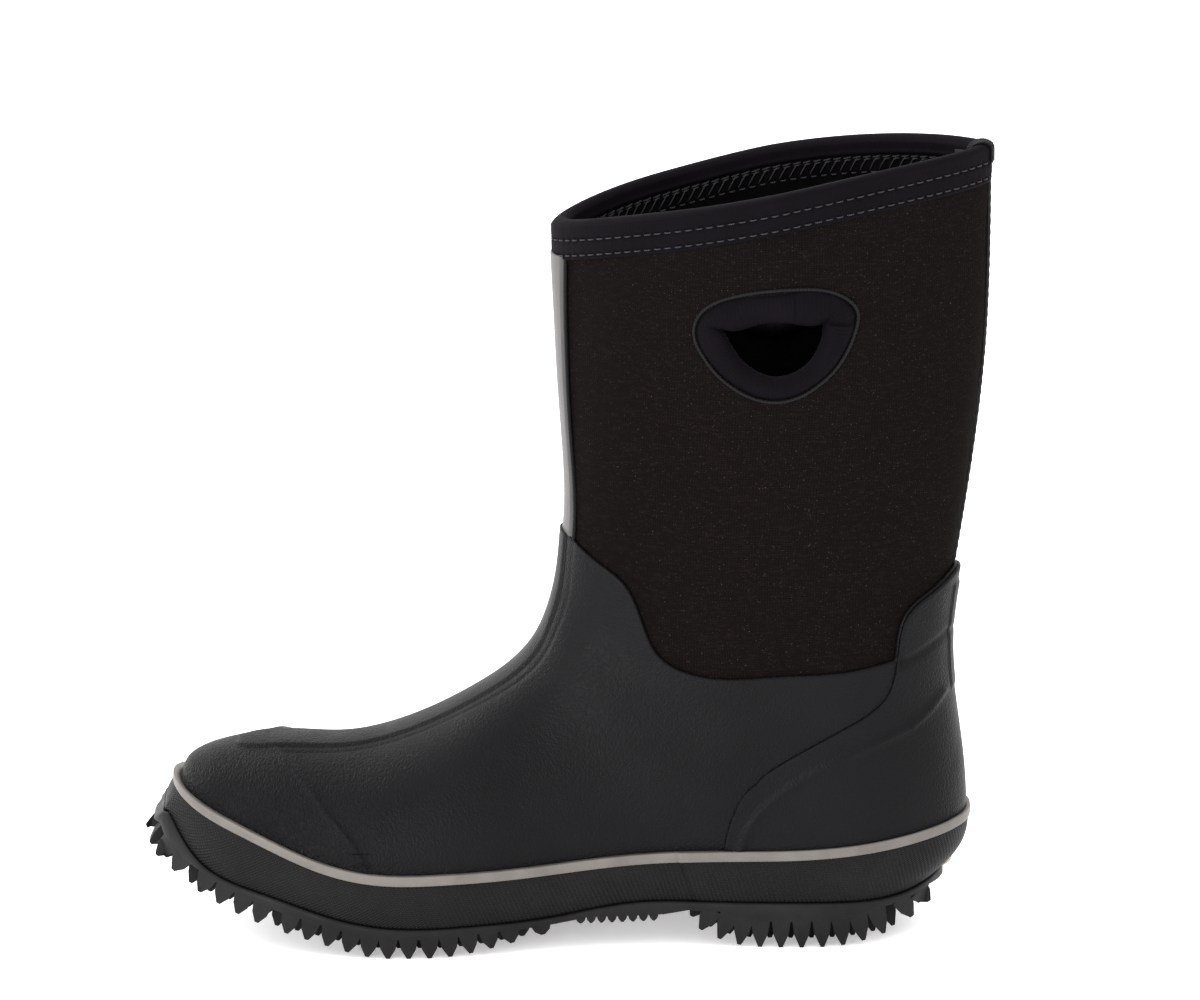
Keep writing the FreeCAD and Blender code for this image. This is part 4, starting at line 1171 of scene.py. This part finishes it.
def make_outsole():
    rim = outline_loop(0.0)
    inside = outline_loop(5.0)
    levels = []
    top = np.minimum(foxing_z(rim[:, 0]), TOE_TOP)
    root = np.minimum(root_z(rim[:, 0]), top - 1.6)
    eased = outline_loop(0.5)
    tucked = outline_loop(0.35)
    for loop, z in (
        (inside, np.minimum(foxing_z(inside[:, 0]), TOE_TOP) - 0.3), (eased, top - 0.05), (rim, top - 0.55),
        (rim, top * 0.55 + root * 0.45), (rim, root + 0.5), (tucked, root),
    ):
        ring = loop.copy()
        ring[:, 2] = z
        ring[:, 0] = np.maximum(ring[:, 0], np.interp(z, *TOE_SLOPE))
        levels.append(ring)
    grid = np.stack(levels, 1)
    count, rows = grid.shape[:2]
    points = grid.reshape(-1, 3)
    faces = []
    for j in range(count):
        n = (j + 1) % count
        for k in range(rows - 1):
            faces.append([j * rows + k, n * rows + k, n * rows + k + 1, j * rows + k + 1])
    half = count // 2
    across = 14
    extra = []
    ladder = {}
    for cap, level, height in (("under", rows - 1, root_z), ("over", 0, None)):
        index = np.zeros((half + 1, across + 1), int)
        for step in range(half + 1):
            a = step % count
            b = (count - step) % count
            index[step, 0] = a * rows + level
            index[step, across] = b * rows + level
            start, end = points[index[step, 0]], points[index[step, across]]
            for inner in range(1, across):
                if step in (0, half):
                    index[step, inner] = index[step, 0]
                    continue
                spot = start + (end - start) * inner / across
                if height is not None:
                    spot[2] = min(root_z(spot[0]), foxing_z(spot[0]) - 1.6)
                index[step, inner] = len(points) + len(extra)
                extra.append(spot)
        ladder[cap] = index
    points = np.concatenate((points, np.array(extra)))
    for cap, index in ladder.items():
        for step in range(half):
            for inner in range(across):
                face = [index[step, inner], index[step, inner + 1],
                        index[step + 1, inner + 1], index[step + 1, inner]]
                face = list(dict.fromkeys(int(corner) for corner in face))
                if len(face) > 2:
                    faces.append(face if cap == "over" else face[::-1])
    a, b, c = points[faces[2][0]], points[faces[2][1]], points[faces[2][2]]
    if np.dot(np.cross(b - a, c - a), plan_outward(rim)[0]) < 0:
        faces = [face[::-1] for face in faces]
    parts = [(points, faces, np.zeros((sum(len(face) for face in faces), 2)))]
    smooth = [True] * len(faces)
    lugs = [lug_rows(ground) for ground in (FRONT, HEEL, ARCH)]
    edge_lugs = [piece for edge, _ in lugs for piece in edge]
    inner_lugs = [piece for _, inner in lugs for piece in inner]
    shape = joined(parts + edge_lugs)
    smooth += [False] * (len(shape[1]) - len(smooth))
    tray = make_mesh("outsole", *shape, "boot", SOLE, "sole_rubber", smooth=smooth)
    # The inner lugs take the darker tread rubber, which paints the shade of the grooves between the rows.
    tread = make_mesh("outsole_tread", *joined(inner_lugs), "boot", SHADED_TREAD, "sole_rubber", smooth=False)
    for piece in (tray, tread):
        bevel = piece.modifiers.new("lug_edges", "BEVEL")
        bevel.width = 0.25 * MM
        bevel.segments = 1
        bevel.angle_limit = math.radians(35)


# ---------------------------------------------------------------------------------------------------
# Neoprene, lining and footbed
# ---------------------------------------------------------------------------------------------------

def reach_of(points):
    """How far a closed side-view line lies from the hand hole's centre, as a function of the bearing."""
    spokes = smooth_path(points, closed=True, count=1200) - HANDLE_CENTRE
    bearing = np.arctan2(spokes[:, 1], spokes[:, 0])
    order = np.argsort(bearing)
    return lambda turn: np.interp(
        turn, bearing[order], np.hypot(*spokes.T)[order], period=TURN)


piping_reach = reach_of(HANDLE_PIPING)
opening_reach = reach_of(HANDLE_OPENING)


def handle_gap(x, y, z):
    """Distance in the side view outside the middle of the hand hole's roll."""
    dx, dz = x - HANDLE_CENTRE[0], z - HANDLE_CENTRE[1] - np.where(y > 0, OUTER_HOLE_LIFT, 0.0)
    turn = np.arctan2(dz, dx)
    return np.hypot(dx, dz) - (piping_reach(turn) + opening_reach(turn)) / 2


def shaft_rows(angles, rows):
    """Places up the shaft for each angle, from the line where the foot's sock ends to the collar."""
    low = crossings(angles, split_z, PANEL_OUTSIDE, 0.3)
    high = crossings(angles, collar_z, PANEL_OUTSIDE, -1.0)
    return rows_between(low, high, rows)


def outside_hole(base, wrap=False):
    """The cells of a grid of points that lie outside the middle of the hand hole's roll."""
    gap = handle_gap(*np.moveaxis(base, -1, 0))
    if wrap:
        gap = np.concatenate((gap, gap[:1]))
    return (gap[:-1, :-1] + gap[1:, :-1] + gap[:-1, 1:] + gap[1:, 1:]) / 4 > -HOLE_TUCK


def panel_swell(points):
    """The soft unevenness of the neoprene: a little full between its edges."""
    return 0.35 * wobble(points, 62.0)


def make_panels():
    for side, start in (("inner", 0.004), ("outer", math.pi + 0.004)):
        angles = np.linspace(start, start + math.pi - 0.008, 240)
        where = shaft_rows(angles, 300)
        column = angles[:, None]
        base = place(where, column, PANEL_OUTSIDE)
        outer = place(where, column, PANEL_OUTSIDE - panel_swell(base) * ease(base[..., 2], 150, 175))
        inner = place(where, column, PANEL_INSIDE)
        name = f"{side}_panel"
        skin = slab(outer, inner, keep=outside_hole(base))
        make_mesh(name, *skin, BENT, NEOPRENE, "neoprene_knit")


def make_linings():
    angles = np.linspace(0, TURN, 360, endpoint=False)
    where = shaft_rows(angles, 200)
    column = angles[:, None]
    base = place(where, column, LINING_INSIDE)
    fold = 0.9 * np.exp(-((base[..., 2] - 262 + 0.0022 * (base[..., 0] - 88) ** 2) / 3.0) ** 2)
    fold *= ease(base[..., 0], 20, 60)
    outer = place(where, column, PANEL_INSIDE)
    inner = place(where, column, LINING_INSIDE + fold)
    skin = slab(outer, inner, keep=outside_hole(base, wrap=True), wrap=True)
    make_mesh("shaft_lining", *skin, BENT, JERSEY, "jersey_lining")


def sock_grid(angles, rows, depth, lift):
    """The foot's shape at a depth, flat on its floor, up to the line where the shaft begins."""
    high = crossings(angles, split_z, PANEL_OUTSIDE, -0.1)
    where = rows_between(np.full(len(angles), 0.0), high, rows)
    points = place(where, angles[:, None], depth)
    points[..., 2] = np.maximum(points[..., 2], floor_z(points[..., 0]) + lift)
    return points


def make_sock(name, depth_out, depth_in, material, slot_name):
    """A closed sock: the sheet between two depths, with its toe closed by rings that shrink."""
    angles = np.linspace(0, TURN, 200, endpoint=False)
    sheets = []
    for depth in (depth_out, depth_in):
        grid = sock_grid(angles, 220, depth, depth)
        middle = grid[:, 0].mean(0)
        rings = [middle + (grid[:, 0] - middle) * share for share in (0.03, 0.35, 0.7)]
        sheets.append(np.concatenate((np.stack(rings, 1), grid), 1))
    outer, inner = sheets
    make_mesh(name, *slab(outer, inner, wrap=True), BENT, material, slot_name)


def make_footbed():
    """The removable footbed: foam with a cloth top, cupped a little at its edge."""
    low = LINING_INSIDE + 0.3
    depth = LINING_INSIDE + 1.2
    x = np.linspace(-137.6, 134.8, 240)
    samples = place(FINE[:, None], np.linspace(0, TURN, 240)[None, :], depth)
    widths = []
    for value in x:
        near = (np.abs(samples[..., 0] - value) < 1.6) & (
            np.abs(samples[..., 2] - floor_z(value) - low - 2.5) < 3.0)
        ys = samples[..., 1][near]
        widths.append((ys[ys < 0].min() if (ys < 0).any() else -1, ys[ys > 0].max() if (ys > 0).any() else 1))
    widths = np.array(widths)
    kernel = np.ones(9) / 9
    for column in range(2):
        padded_ends = np.pad(widths[:, column], 4, mode="edge")
        widths[:, column] = np.convolve(padded_ends, kernel, "valid")
    ends = np.sqrt(np.clip(1 - np.clip(1 - np.minimum(x - x[0], x[-1] - x) / 9.0, 0, 1) ** 2, 0.05, 1))
    centre = widths.mean(1)
    half = (widths[:, 1] - widths[:, 0]) / 2 * ends - 0.3
    t = np.linspace(-1, 1, 46)
    y = centre[:, None] + half[:, None] * t[None, :]
    floor = floor_z(x)[:, None] + 0 * y
    cup = 1.6 * np.abs(t[None, :]) ** 5
    grid_x = x[:, None] + 0 * y
    for name, bottom, top, material, slot_name in (
        ("footbed_foam", low, low + 4.5, FOAM, "foam"),
        ("footbed_cloth", low + 4.55, low + 5.4, FOOTBED, "footbed_cloth"),
    ):
        over = np.stack((grid_x, y, floor + top + cup), -1)
        under = np.stack((grid_x, y, floor + bottom + (cup if name == "footbed_cloth" else 0 * cup)), -1)
        piece = make_mesh(name, *slab(over, under), "footbed", material, slot_name)


# ---------------------------------------------------------------------------------------------------
# Trims of the shaft
# ---------------------------------------------------------------------------------------------------

def front_rows(count, low_lift, high_drop):
    low = crossings(np.array([0.0]), rubber_edge_z, 1.0, low_lift)[0]
    high = crossings(np.array([0.0]), collar_z, 1.0, -high_drop)[0]
    return np.linspace(low, high, count)


FRONT_STRIP_HALF, CORD_FROM_MIDDLE, CORD_RADIUS = 10.9, 11.8, 0.72
TAPE_HALF = 1.9


def make_front_strip():
    where = front_rows(200, -6.0, 12.0)
    across = np.linspace(-1, 1, 44)
    offset = FRONT_STRIP_HALF * across[None, :] + 0 * where[:, None]
    tucked = ease(where, where[0] + 5.0, where[0] + 8.5)
    depth = 1.75 - 1.4 * tucked[:, None] * ease(1 - np.abs(across), 0.0, 0.08)[None, :]
    angle = angle_at_side(where, offset, 1.0)
    outer = place(where[:, None], angle, depth)
    inner = place(where[:, None], angle, 1.98)
    make_mesh("front_strip", *slab(outer, inner), BENT, TAPE, "satin_tape")


def make_seam_cords():
    where = front_rows(220, -4.0, 12.5)
    for side, y in (("inner", -CORD_FROM_MIDDLE), ("outer", CORD_FROM_MIDDLE)):
        angle = angle_at_side(where, np.full((len(where), 1), y), 1.0)[:, 0]
        path = place(where, angle, 1.15)
        normal = outward(where, angle, 1.15)
        wavy = CORD_RADIUS + 0.05 * np.sin(np.arange(len(path)) * 1.9)
        name = f"{side}_seam_cord"
        make_mesh(name, *tube(path, wavy, 10, False, normal), BENT, CORD, "black_cord")


def make_back_tape():
    low = crossings(np.array([math.pi]), rubber_edge_z, 1.0, -3.0)[0]
    high = crossings(np.array([math.pi]), collar_z, 1.0, -12.5)[0]
    where = np.linspace(low, high, 240)
    across = np.linspace(-1, 1, 12)
    offset = TAPE_HALF * across[None, :] + 0.35 * np.sin(where * 0.09)[:, None]
    angle = angle_at_side(where, offset, 1.0, front=False)
    crown = np.sqrt(np.clip(1 - across ** 2, 0, 1))
    depth = 1.9 - 0.85 * crown[None, :] + 0.08 * np.sin(where * 2.2)[:, None]
    outer = place(where[:, None], angle, depth)
    inner = place(where[:, None], angle, 2.1)
    make_mesh("back_seam_tape", *slab(outer, inner), BENT, CORD, "black_cord")


COLLAR_ANGLES = np.linspace(0, TURN, 900, endpoint=False)
COLLAR_TOP = crossings(COLLAR_ANGLES, collar_z, 1.0)
DROP_MARKS = np.arange(-2.0, 42.0, 0.5)


def collar_table():
    """Where each drop below the collar's edge lies, for each angle round the shaft."""
    where = COLLAR_TOP[:, None] - np.linspace(-6, 75, 163)[None, :]
    points = place(where, COLLAR_ANGLES[:, None], 1.0)
    steps = np.linalg.norm(np.diff(points, axis=1), axis=-1)
    run = np.concatenate((np.zeros((len(where), 1)), np.cumsum(steps, axis=1)), 1)
    rows = []
    for top, marks, spots in zip(COLLAR_TOP, run, where):
        start = np.interp(-top, -spots, marks)
        rows.append(np.interp(DROP_MARKS, marks - start, spots))
    return np.array(rows)


COLLAR_WHERE = collar_table()


def collar_where(drop, angle):
    """The place along the boot this far below the collar's edge, at this angle."""
    k = int((drop - DROP_MARKS[0]) / 0.5)
    share = (drop - DROP_MARKS[k]) / 0.5
    ring = COLLAR_WHERE[:, k] * (1 - share) + COLLAR_WHERE[:, k + 1] * share
    return np.interp(angle % TURN, np.append(COLLAR_ANGLES, TURN), np.append(ring, ring[0]))


# The binding's lower edge and its two rows of stitches, as drops below the collar's edge.
BINDING_DROP = 14.4
ROW_DROPS = (6.8, 12.6)


def collar_point(drop, depth):
    """Points this far below the collar's edge, measured down the wall."""
    return place(collar_where(drop, COLLAR_ANGLES), COLLAR_ANGLES, depth)


def make_binding():
    loop = []
    for drop in np.linspace(BINDING_DROP, 1.6, 40):
        sunk = sum(0.5 * math.exp(-((drop - row) / 0.75) ** 2) for row in ROW_DROPS)
        edge = 0.5 * math.exp(-((drop - BINDING_DROP) / 0.6) ** 2)
        loop.append((drop, 0.85 + sunk + edge))
    for turn in np.linspace(20, 160, 9):
        radians = math.radians(turn)
        loop.append((2.2 - 2.6 * math.sin(radians), 4.45 - 3.6 * math.cos(radians)))
    for drop in np.linspace(1.8, 6.4, 10):
        loop.append((drop, 8.15 + 0.45 * math.exp(-((drop - 5.6) / 0.6) ** 2)))
    loop += [(6.6, 7.62), (2.0, 7.55), (0.9, 6.8), (0.6, 4.4), (0.9, 2.5), (2.0, 1.95), (14.2, 1.9)]
    pucker = 0.12 * np.sin(COLLAR_ANGLES * 98)
    grid = []
    for drop, depth in loop:
        near_row = sum(math.exp(-((drop - row) / 1.6) ** 2) for row in ROW_DROPS)
        outside = depth < 1.7
        shift = pucker * near_row if outside else 0.0
        grid.append(collar_point(drop, depth + shift))
    grid = np.stack(grid, 1)
    make_mesh("collar_binding", *torus(grid), "shaft", BINDING, "binding_knit")


STITCH_PITCH, STITCH_LENGTH, STITCH_RADIUS, STITCH_RISE = 4.1, 2.5, 0.27, 0.25


def stitches(path, normals):
    """Rows of short threads along a path: each a small tube whose ends dive into the fabric."""
    parts = []
    loop = np.concatenate((path, path[:1]))
    loop_normals = np.concatenate((normals, normals[:1]))
    run = run_along(loop)
    count = round(run[-1] / STITCH_PITCH)
    for number in range(count):
        middle = (number + 0.5) * run[-1] / count
        marks = middle + np.linspace(-0.5, 0.5, 6) * STITCH_LENGTH
        spots = sample(marks, run, loop)
        up = sample(marks, run, loop_normals)
        rise = np.array((-1, 0.5, 1, 1, 0.5, -1)) * STITCH_RISE
        parts.append(tube(spots + up * rise[:, None], STITCH_RADIUS, 6, False, up))
    return parts


def make_collar_stitches():
    parts = []
    for drop in ROW_DROPS:
        depth = 1.05
        normals = outward(collar_where(drop, COLLAR_ANGLES), COLLAR_ANGLES, depth)
        parts += stitches(collar_point(drop, depth), normals)
    make_mesh("collar_stitches", *joined(parts), "shaft", THREAD, "black_cord")


def collar_thread(drops, angles, depths, radius):
    """A thread laid on the collar's inner wall through drops, angles and depths."""
    where = np.array([collar_where(drop, angle) for drop, angle in zip(drops, angles)])
    up = -outward(where, angles, depths)
    return tube(place(where, angles, depths), radius, 6, False, up)


def make_zigzag():
    """The zigzag seam inside the collar: slanted threads between two rows of short bars."""
    base = collar_point(9.5, LINING_INSIDE)
    run = run_along(np.concatenate((base, base[:1])))
    count = round(run[-1] / 3.9)
    marks = np.linspace(0, run[-1], count + 1)
    angles = np.interp(marks, run, np.append(COLLAR_ANGLES, TURN))
    t = np.linspace(0, 1, 6)
    arch = np.array((-0.2, 0.3, 0.42, 0.42, 0.3, -0.2))
    parts = []
    for here, after in zip(angles, angles[1:]):
        step = after - here
        depths = LINING_INSIDE + 0.15 + arch
        parts.append(collar_thread(7.2 + 5.4 * t, here + step * (0.05 + 0.95 * t ** 0.8), depths, 0.22))
        parts.append(collar_thread(7.3 + 0.4 * t, here + step * (0.75 * t - 0.1), depths, 0.28))
        parts.append(collar_thread(8.3 + 0.3 * t, here + step * (0.6 * t - 0.05), depths - 0.1, 0.24))
        parts.append(collar_thread(np.full(len(t), 13.4), here + step * (0.5 * t + 0.35), depths, 0.28))
    make_mesh("collar_zigzag", *joined(parts), "shaft", THREAD, "black_cord")


PATCH_HALF = 9


def make_back_tab():
    """The woven patch inside the back of the collar."""
    drops = np.linspace(2.6, 36.0, 60)
    offset = np.linspace(-PATCH_HALF, PATCH_HALF, 30)
    where = np.array([float(collar_where(drop, math.pi)) for drop in drops])
    angle = angle_at_side(where, offset[None, :] + 0 * where[:, None], 8.6, front=False)
    thick = 0.5 * ease(1 - np.abs(offset) / PATCH_HALF, 0.0, 0.06)
    over = place(where[:, None], angle, 8.55 + thick[None, :] + 0.05 * np.sin(drops * 4.2)[:, None])
    under = place(where[:, None], angle, 8.45)
    make_mesh("collar_back_tab", *slab(over, under), "shaft", PATCH, "satin_tape")


def make_overlock():
    """The braided threads over the binding's ends, from outside the collar over its edge to the inside."""
    path = []
    for drop in np.linspace(7.0, 2.2, 9):
        path.append((drop, 0.62))
    for turn in np.linspace(20, 160, 12):
        radians = math.radians(turn)
        path.append((2.2 - 3.0 * math.sin(radians), 4.45 - 3.95 * math.cos(radians)))
    for drop in np.linspace(2.4, 6.4, 8):
        path.append((drop, 8.5))
    path = np.array(path)
    spots = np.array([place(collar_where(drop, math.pi), math.pi, depth) for drop, depth in path])
    run = run_along(spots)
    parts = []
    half, pitch = 3.4, 0.85
    for number in range(int(run[-1] / pitch)):
        for slant in (-1, 1):
            t = np.linspace(-1, 1, 9)
            along = np.clip((number + 0.5) * pitch + 1.1 * slant * t, 0, run[-1])
            drops = np.interp(along, run, path[:, 0])
            depths = np.interp(along, run, path[:, 1])
            where = np.array([float(collar_where(drop, math.pi)) for drop in drops])
            spread = np.array([
                angle_at_side(np.array([w]), np.array([[half * share]]), d, front=False)[0, 0]
                for w, share, d in zip(where, t, depths)
            ])
            weave = 0.22 * np.cos(t * 3 * math.pi) * slant
            points = place(where, spread, depths)
            line = sample(along, run, spots)
            tangent = sample(along + 0.4, run, spots) - sample(along - 0.4, run, spots)
            up = np.cross(tangent, np.array((0.0, 1.0, 0.0)))
            up /= np.linalg.norm(up, axis=1, keepdims=True)
            core = place(collar_where(4.0, math.pi), math.pi, 4.5)
            up *= np.sign(np.sum((line - core) * up, axis=1, keepdims=True))
            parts.append(tube(points + up * (0.25 + weave)[:, None], 0.36, 6, False, up))
    make_mesh("collar_overlock", *joined(parts), "shaft", CORD, "black_cord")


def find_on_side(x, z, outer_side, depth):
    """The place and angle at which the shaft's wall, on one side, is seen at x and z."""
    x, z = np.asarray(x, float), np.asarray(z, float)
    where = np.full(x.shape, PLACES[18])
    angle = np.full(x.shape, 1.5 * math.pi if outer_side else 0.5 * math.pi)
    for _ in range(30):
        here = place(where, angle, depth)
        along = place(where + 0.4, angle, depth) - here
        around = place(where, angle + 0.004, depth) - here
        a, b, c, d = along[..., 0], around[..., 0], along[..., 2], around[..., 2]
        ex, ez = x - here[..., 0], z - here[..., 2]
        det = a * d - b * c
        where = where + np.clip(0.4 * (ex * d - b * ez) / det, -12, 12)
        angle = angle + np.clip(0.004 * (a * ez - c * ex) / det, -0.2, 0.2)
    return where, angle


ROLL_DEPTH, PIPING_SINK = 4.2, 0.7      # the roll's middle under the envelope; the roll ends inside its piping


def make_handles():
    """The padded roll of each hand hole, and the piping around it."""
    turn = np.linspace(-math.pi, math.pi, 3000, endpoint=False)
    ray = np.stack((np.cos(turn), np.sin(turn)), -1)
    for side, outer_side in (("inner", False), ("outer", True)):
        middle = HANDLE_CENTRE + ray * ((piping_reach(turn) - PIPING_SINK + opening_reach(turn)) / 2)[:, None]
        core = even_steps(middle, 0.3)
        spokes = core - HANDLE_CENTRE
        bearing = np.arctan2(spokes[:, 1], spokes[:, 0])
        half = (piping_reach(bearing) - PIPING_SINK - opening_reach(bearing)) / 2
        lift = OUTER_HOLE_LIFT if outer_side else 0.0
        where, angle = find_on_side(core[:, 0], core[:, 1] + lift, outer_side, ROLL_DEPTH)
        path = place(where, angle, ROLL_DEPTH)
        normal = outward(where, angle, ROLL_DEPTH)
        joint = np.exp(-(((bearing - math.radians(14)) * 38) / 1.1) ** 2)
        left = np.exp(-(((bearing - math.radians(60)) * 26) / 0.9) ** 2)
        ribs = 0.1 * np.sin(np.arange(len(path)) * 0.3 * TURN / 1.5)
        high = 4.7 - 1.1 * joint - 0.5 * left + ribs
        name = f"{side}_handle_rim"
        skin = tube(path, half, 36, True, normal, squash=high / half)
        piece = make_mesh(name, *skin, "shaft", BINDING, "binding_knit")
        outline = even_steps(HANDLE_CENTRE + ray * piping_reach(turn)[:, None], 0.35)
        where, angle = find_on_side(outline[:, 0], outline[:, 1] + lift, outer_side, 1.5)
        path = place(where, angle, 1.35)
        normal = outward(where, angle, 1.35)
        twist = 0.66 + 0.07 * np.sin(np.arange(len(path)) * 0.35 * TURN / 1.4)
        name = f"{side}_handle_piping"
        make_mesh(name, *tube(path, twist, 10, True, normal), "shaft", CORD, "black_cord")


# ---------------------------------------------------------------------------------------------------
# Room, light and camera
# ---------------------------------------------------------------------------------------------------

def make_stage():
    """A plain pale floor whose paint glows a little, painted light that lifts the boot's shadow on it and
    lights the boot from below; a white room and soft lights.
    """
    look = Nodes("floor_paint_glowing", (0.93, 0.93, 0.93), 0.75, 0.2)
    # The floor's glow is painted light: it washes out the boot's shadow on the floor.
    look.shader.inputs["Emission Color"].default_value = (1, 0.98, 0.985, 1)
    look.shader.inputs["Emission Strength"].default_value = 0.4
    mesh = bpy.data.meshes.new("floor")
    reach = 12.0
    mesh.from_pydata([(-reach, -reach, -0.0002), (reach, -reach, -0.0002), (reach, reach, -0.0002),
                      (-reach, reach, -0.0002)], [], [(0, 1, 2, 3)])
    floor = bpy.data.objects.new("floor", mesh)
    mesh.materials.append(look.material)
    bpy.context.scene.collection.objects.link(floor)
    world = bpy.data.worlds.new("white_room")
    world.use_nodes = True
    world.node_tree.nodes["Background"].inputs["Color"].default_value = (1, 1, 1, 1)
    world.node_tree.nodes["Background"].inputs["Strength"].default_value = 1.7
    bpy.context.scene.world = world
    sun = bpy.data.lights.new("overhead", "SUN")
    sun.energy = 0.9
    sun.angle = math.radians(80)
    lamp = bpy.data.objects.new("overhead", sun)
    lamp.rotation_euler = Vector((-0.3, 0.3, 1.0)).to_track_quat("Z", "Y").to_euler()
    bpy.context.scene.collection.objects.link(lamp)
    for name, spot, aim, width, power in (
        ("key", (-1.35, -2.0, 0.40), (0.0, 0.0, 0.10), 0.7, 30.0),
        ("rim", (-1.5, 0.9, 0.8), (-0.05, 0.0, 0.12), 0.8, 16.0),
    ):
        data = bpy.data.lights.new(name, "AREA")
        data.shape = "DISK"
        data.size = width
        data.energy = power
        light = bpy.data.objects.new(name, data)
        light.location = spot
        light.rotation_euler = (Vector(aim) - Vector(spot)).to_track_quat("-Z", "Y").to_euler()
        bpy.context.scene.collection.objects.link(light)
    bpy.context.scene.view_settings.view_transform = "Standard"


def make_camera():
    """A long lens from a low angle, level across the boot, as the object is seen on its page."""
    data = bpy.data.cameras.new("camera")
    distance = 3.6
    elevation = math.radians(15.0)
    target = Vector((0.0121, 0.0, 0.1633))
    width_at_target = 0.4464
    data.sensor_width = 36.0
    data.lens = 36.0 * distance / width_at_target
    data.clip_start, data.clip_end = 0.1, 60.0
    camera = bpy.data.objects.new("camera", data)
    back = Vector((0.0, -math.cos(elevation), math.sin(elevation)))
    camera.location = target + back * distance
    camera.rotation_euler = (-back).to_track_quat("-Z", "Y").to_euler()
    bpy.context.scene.collection.objects.link(camera)
    bpy.context.scene.camera = camera


make_stage()
make_camera()
make_vamp()
make_toe_end()
make_counter()
make_instep_strip()
make_foxing()
make_stripe()
make_outsole()
make_midsole()
make_panels()
make_linings()
make_sock("foot_bootie", PANEL_OUTSIDE, PANEL_INSIDE, NEOPRENE, "neoprene_knit")
make_sock("foot_lining", PANEL_INSIDE, LINING_INSIDE, JERSEY, "jersey_lining")
make_footbed()
make_front_strip()
make_seam_cords()
make_back_tape()
make_binding()
make_collar_stitches()
make_zigzag()
make_back_tab()
make_overlock()
make_handles()
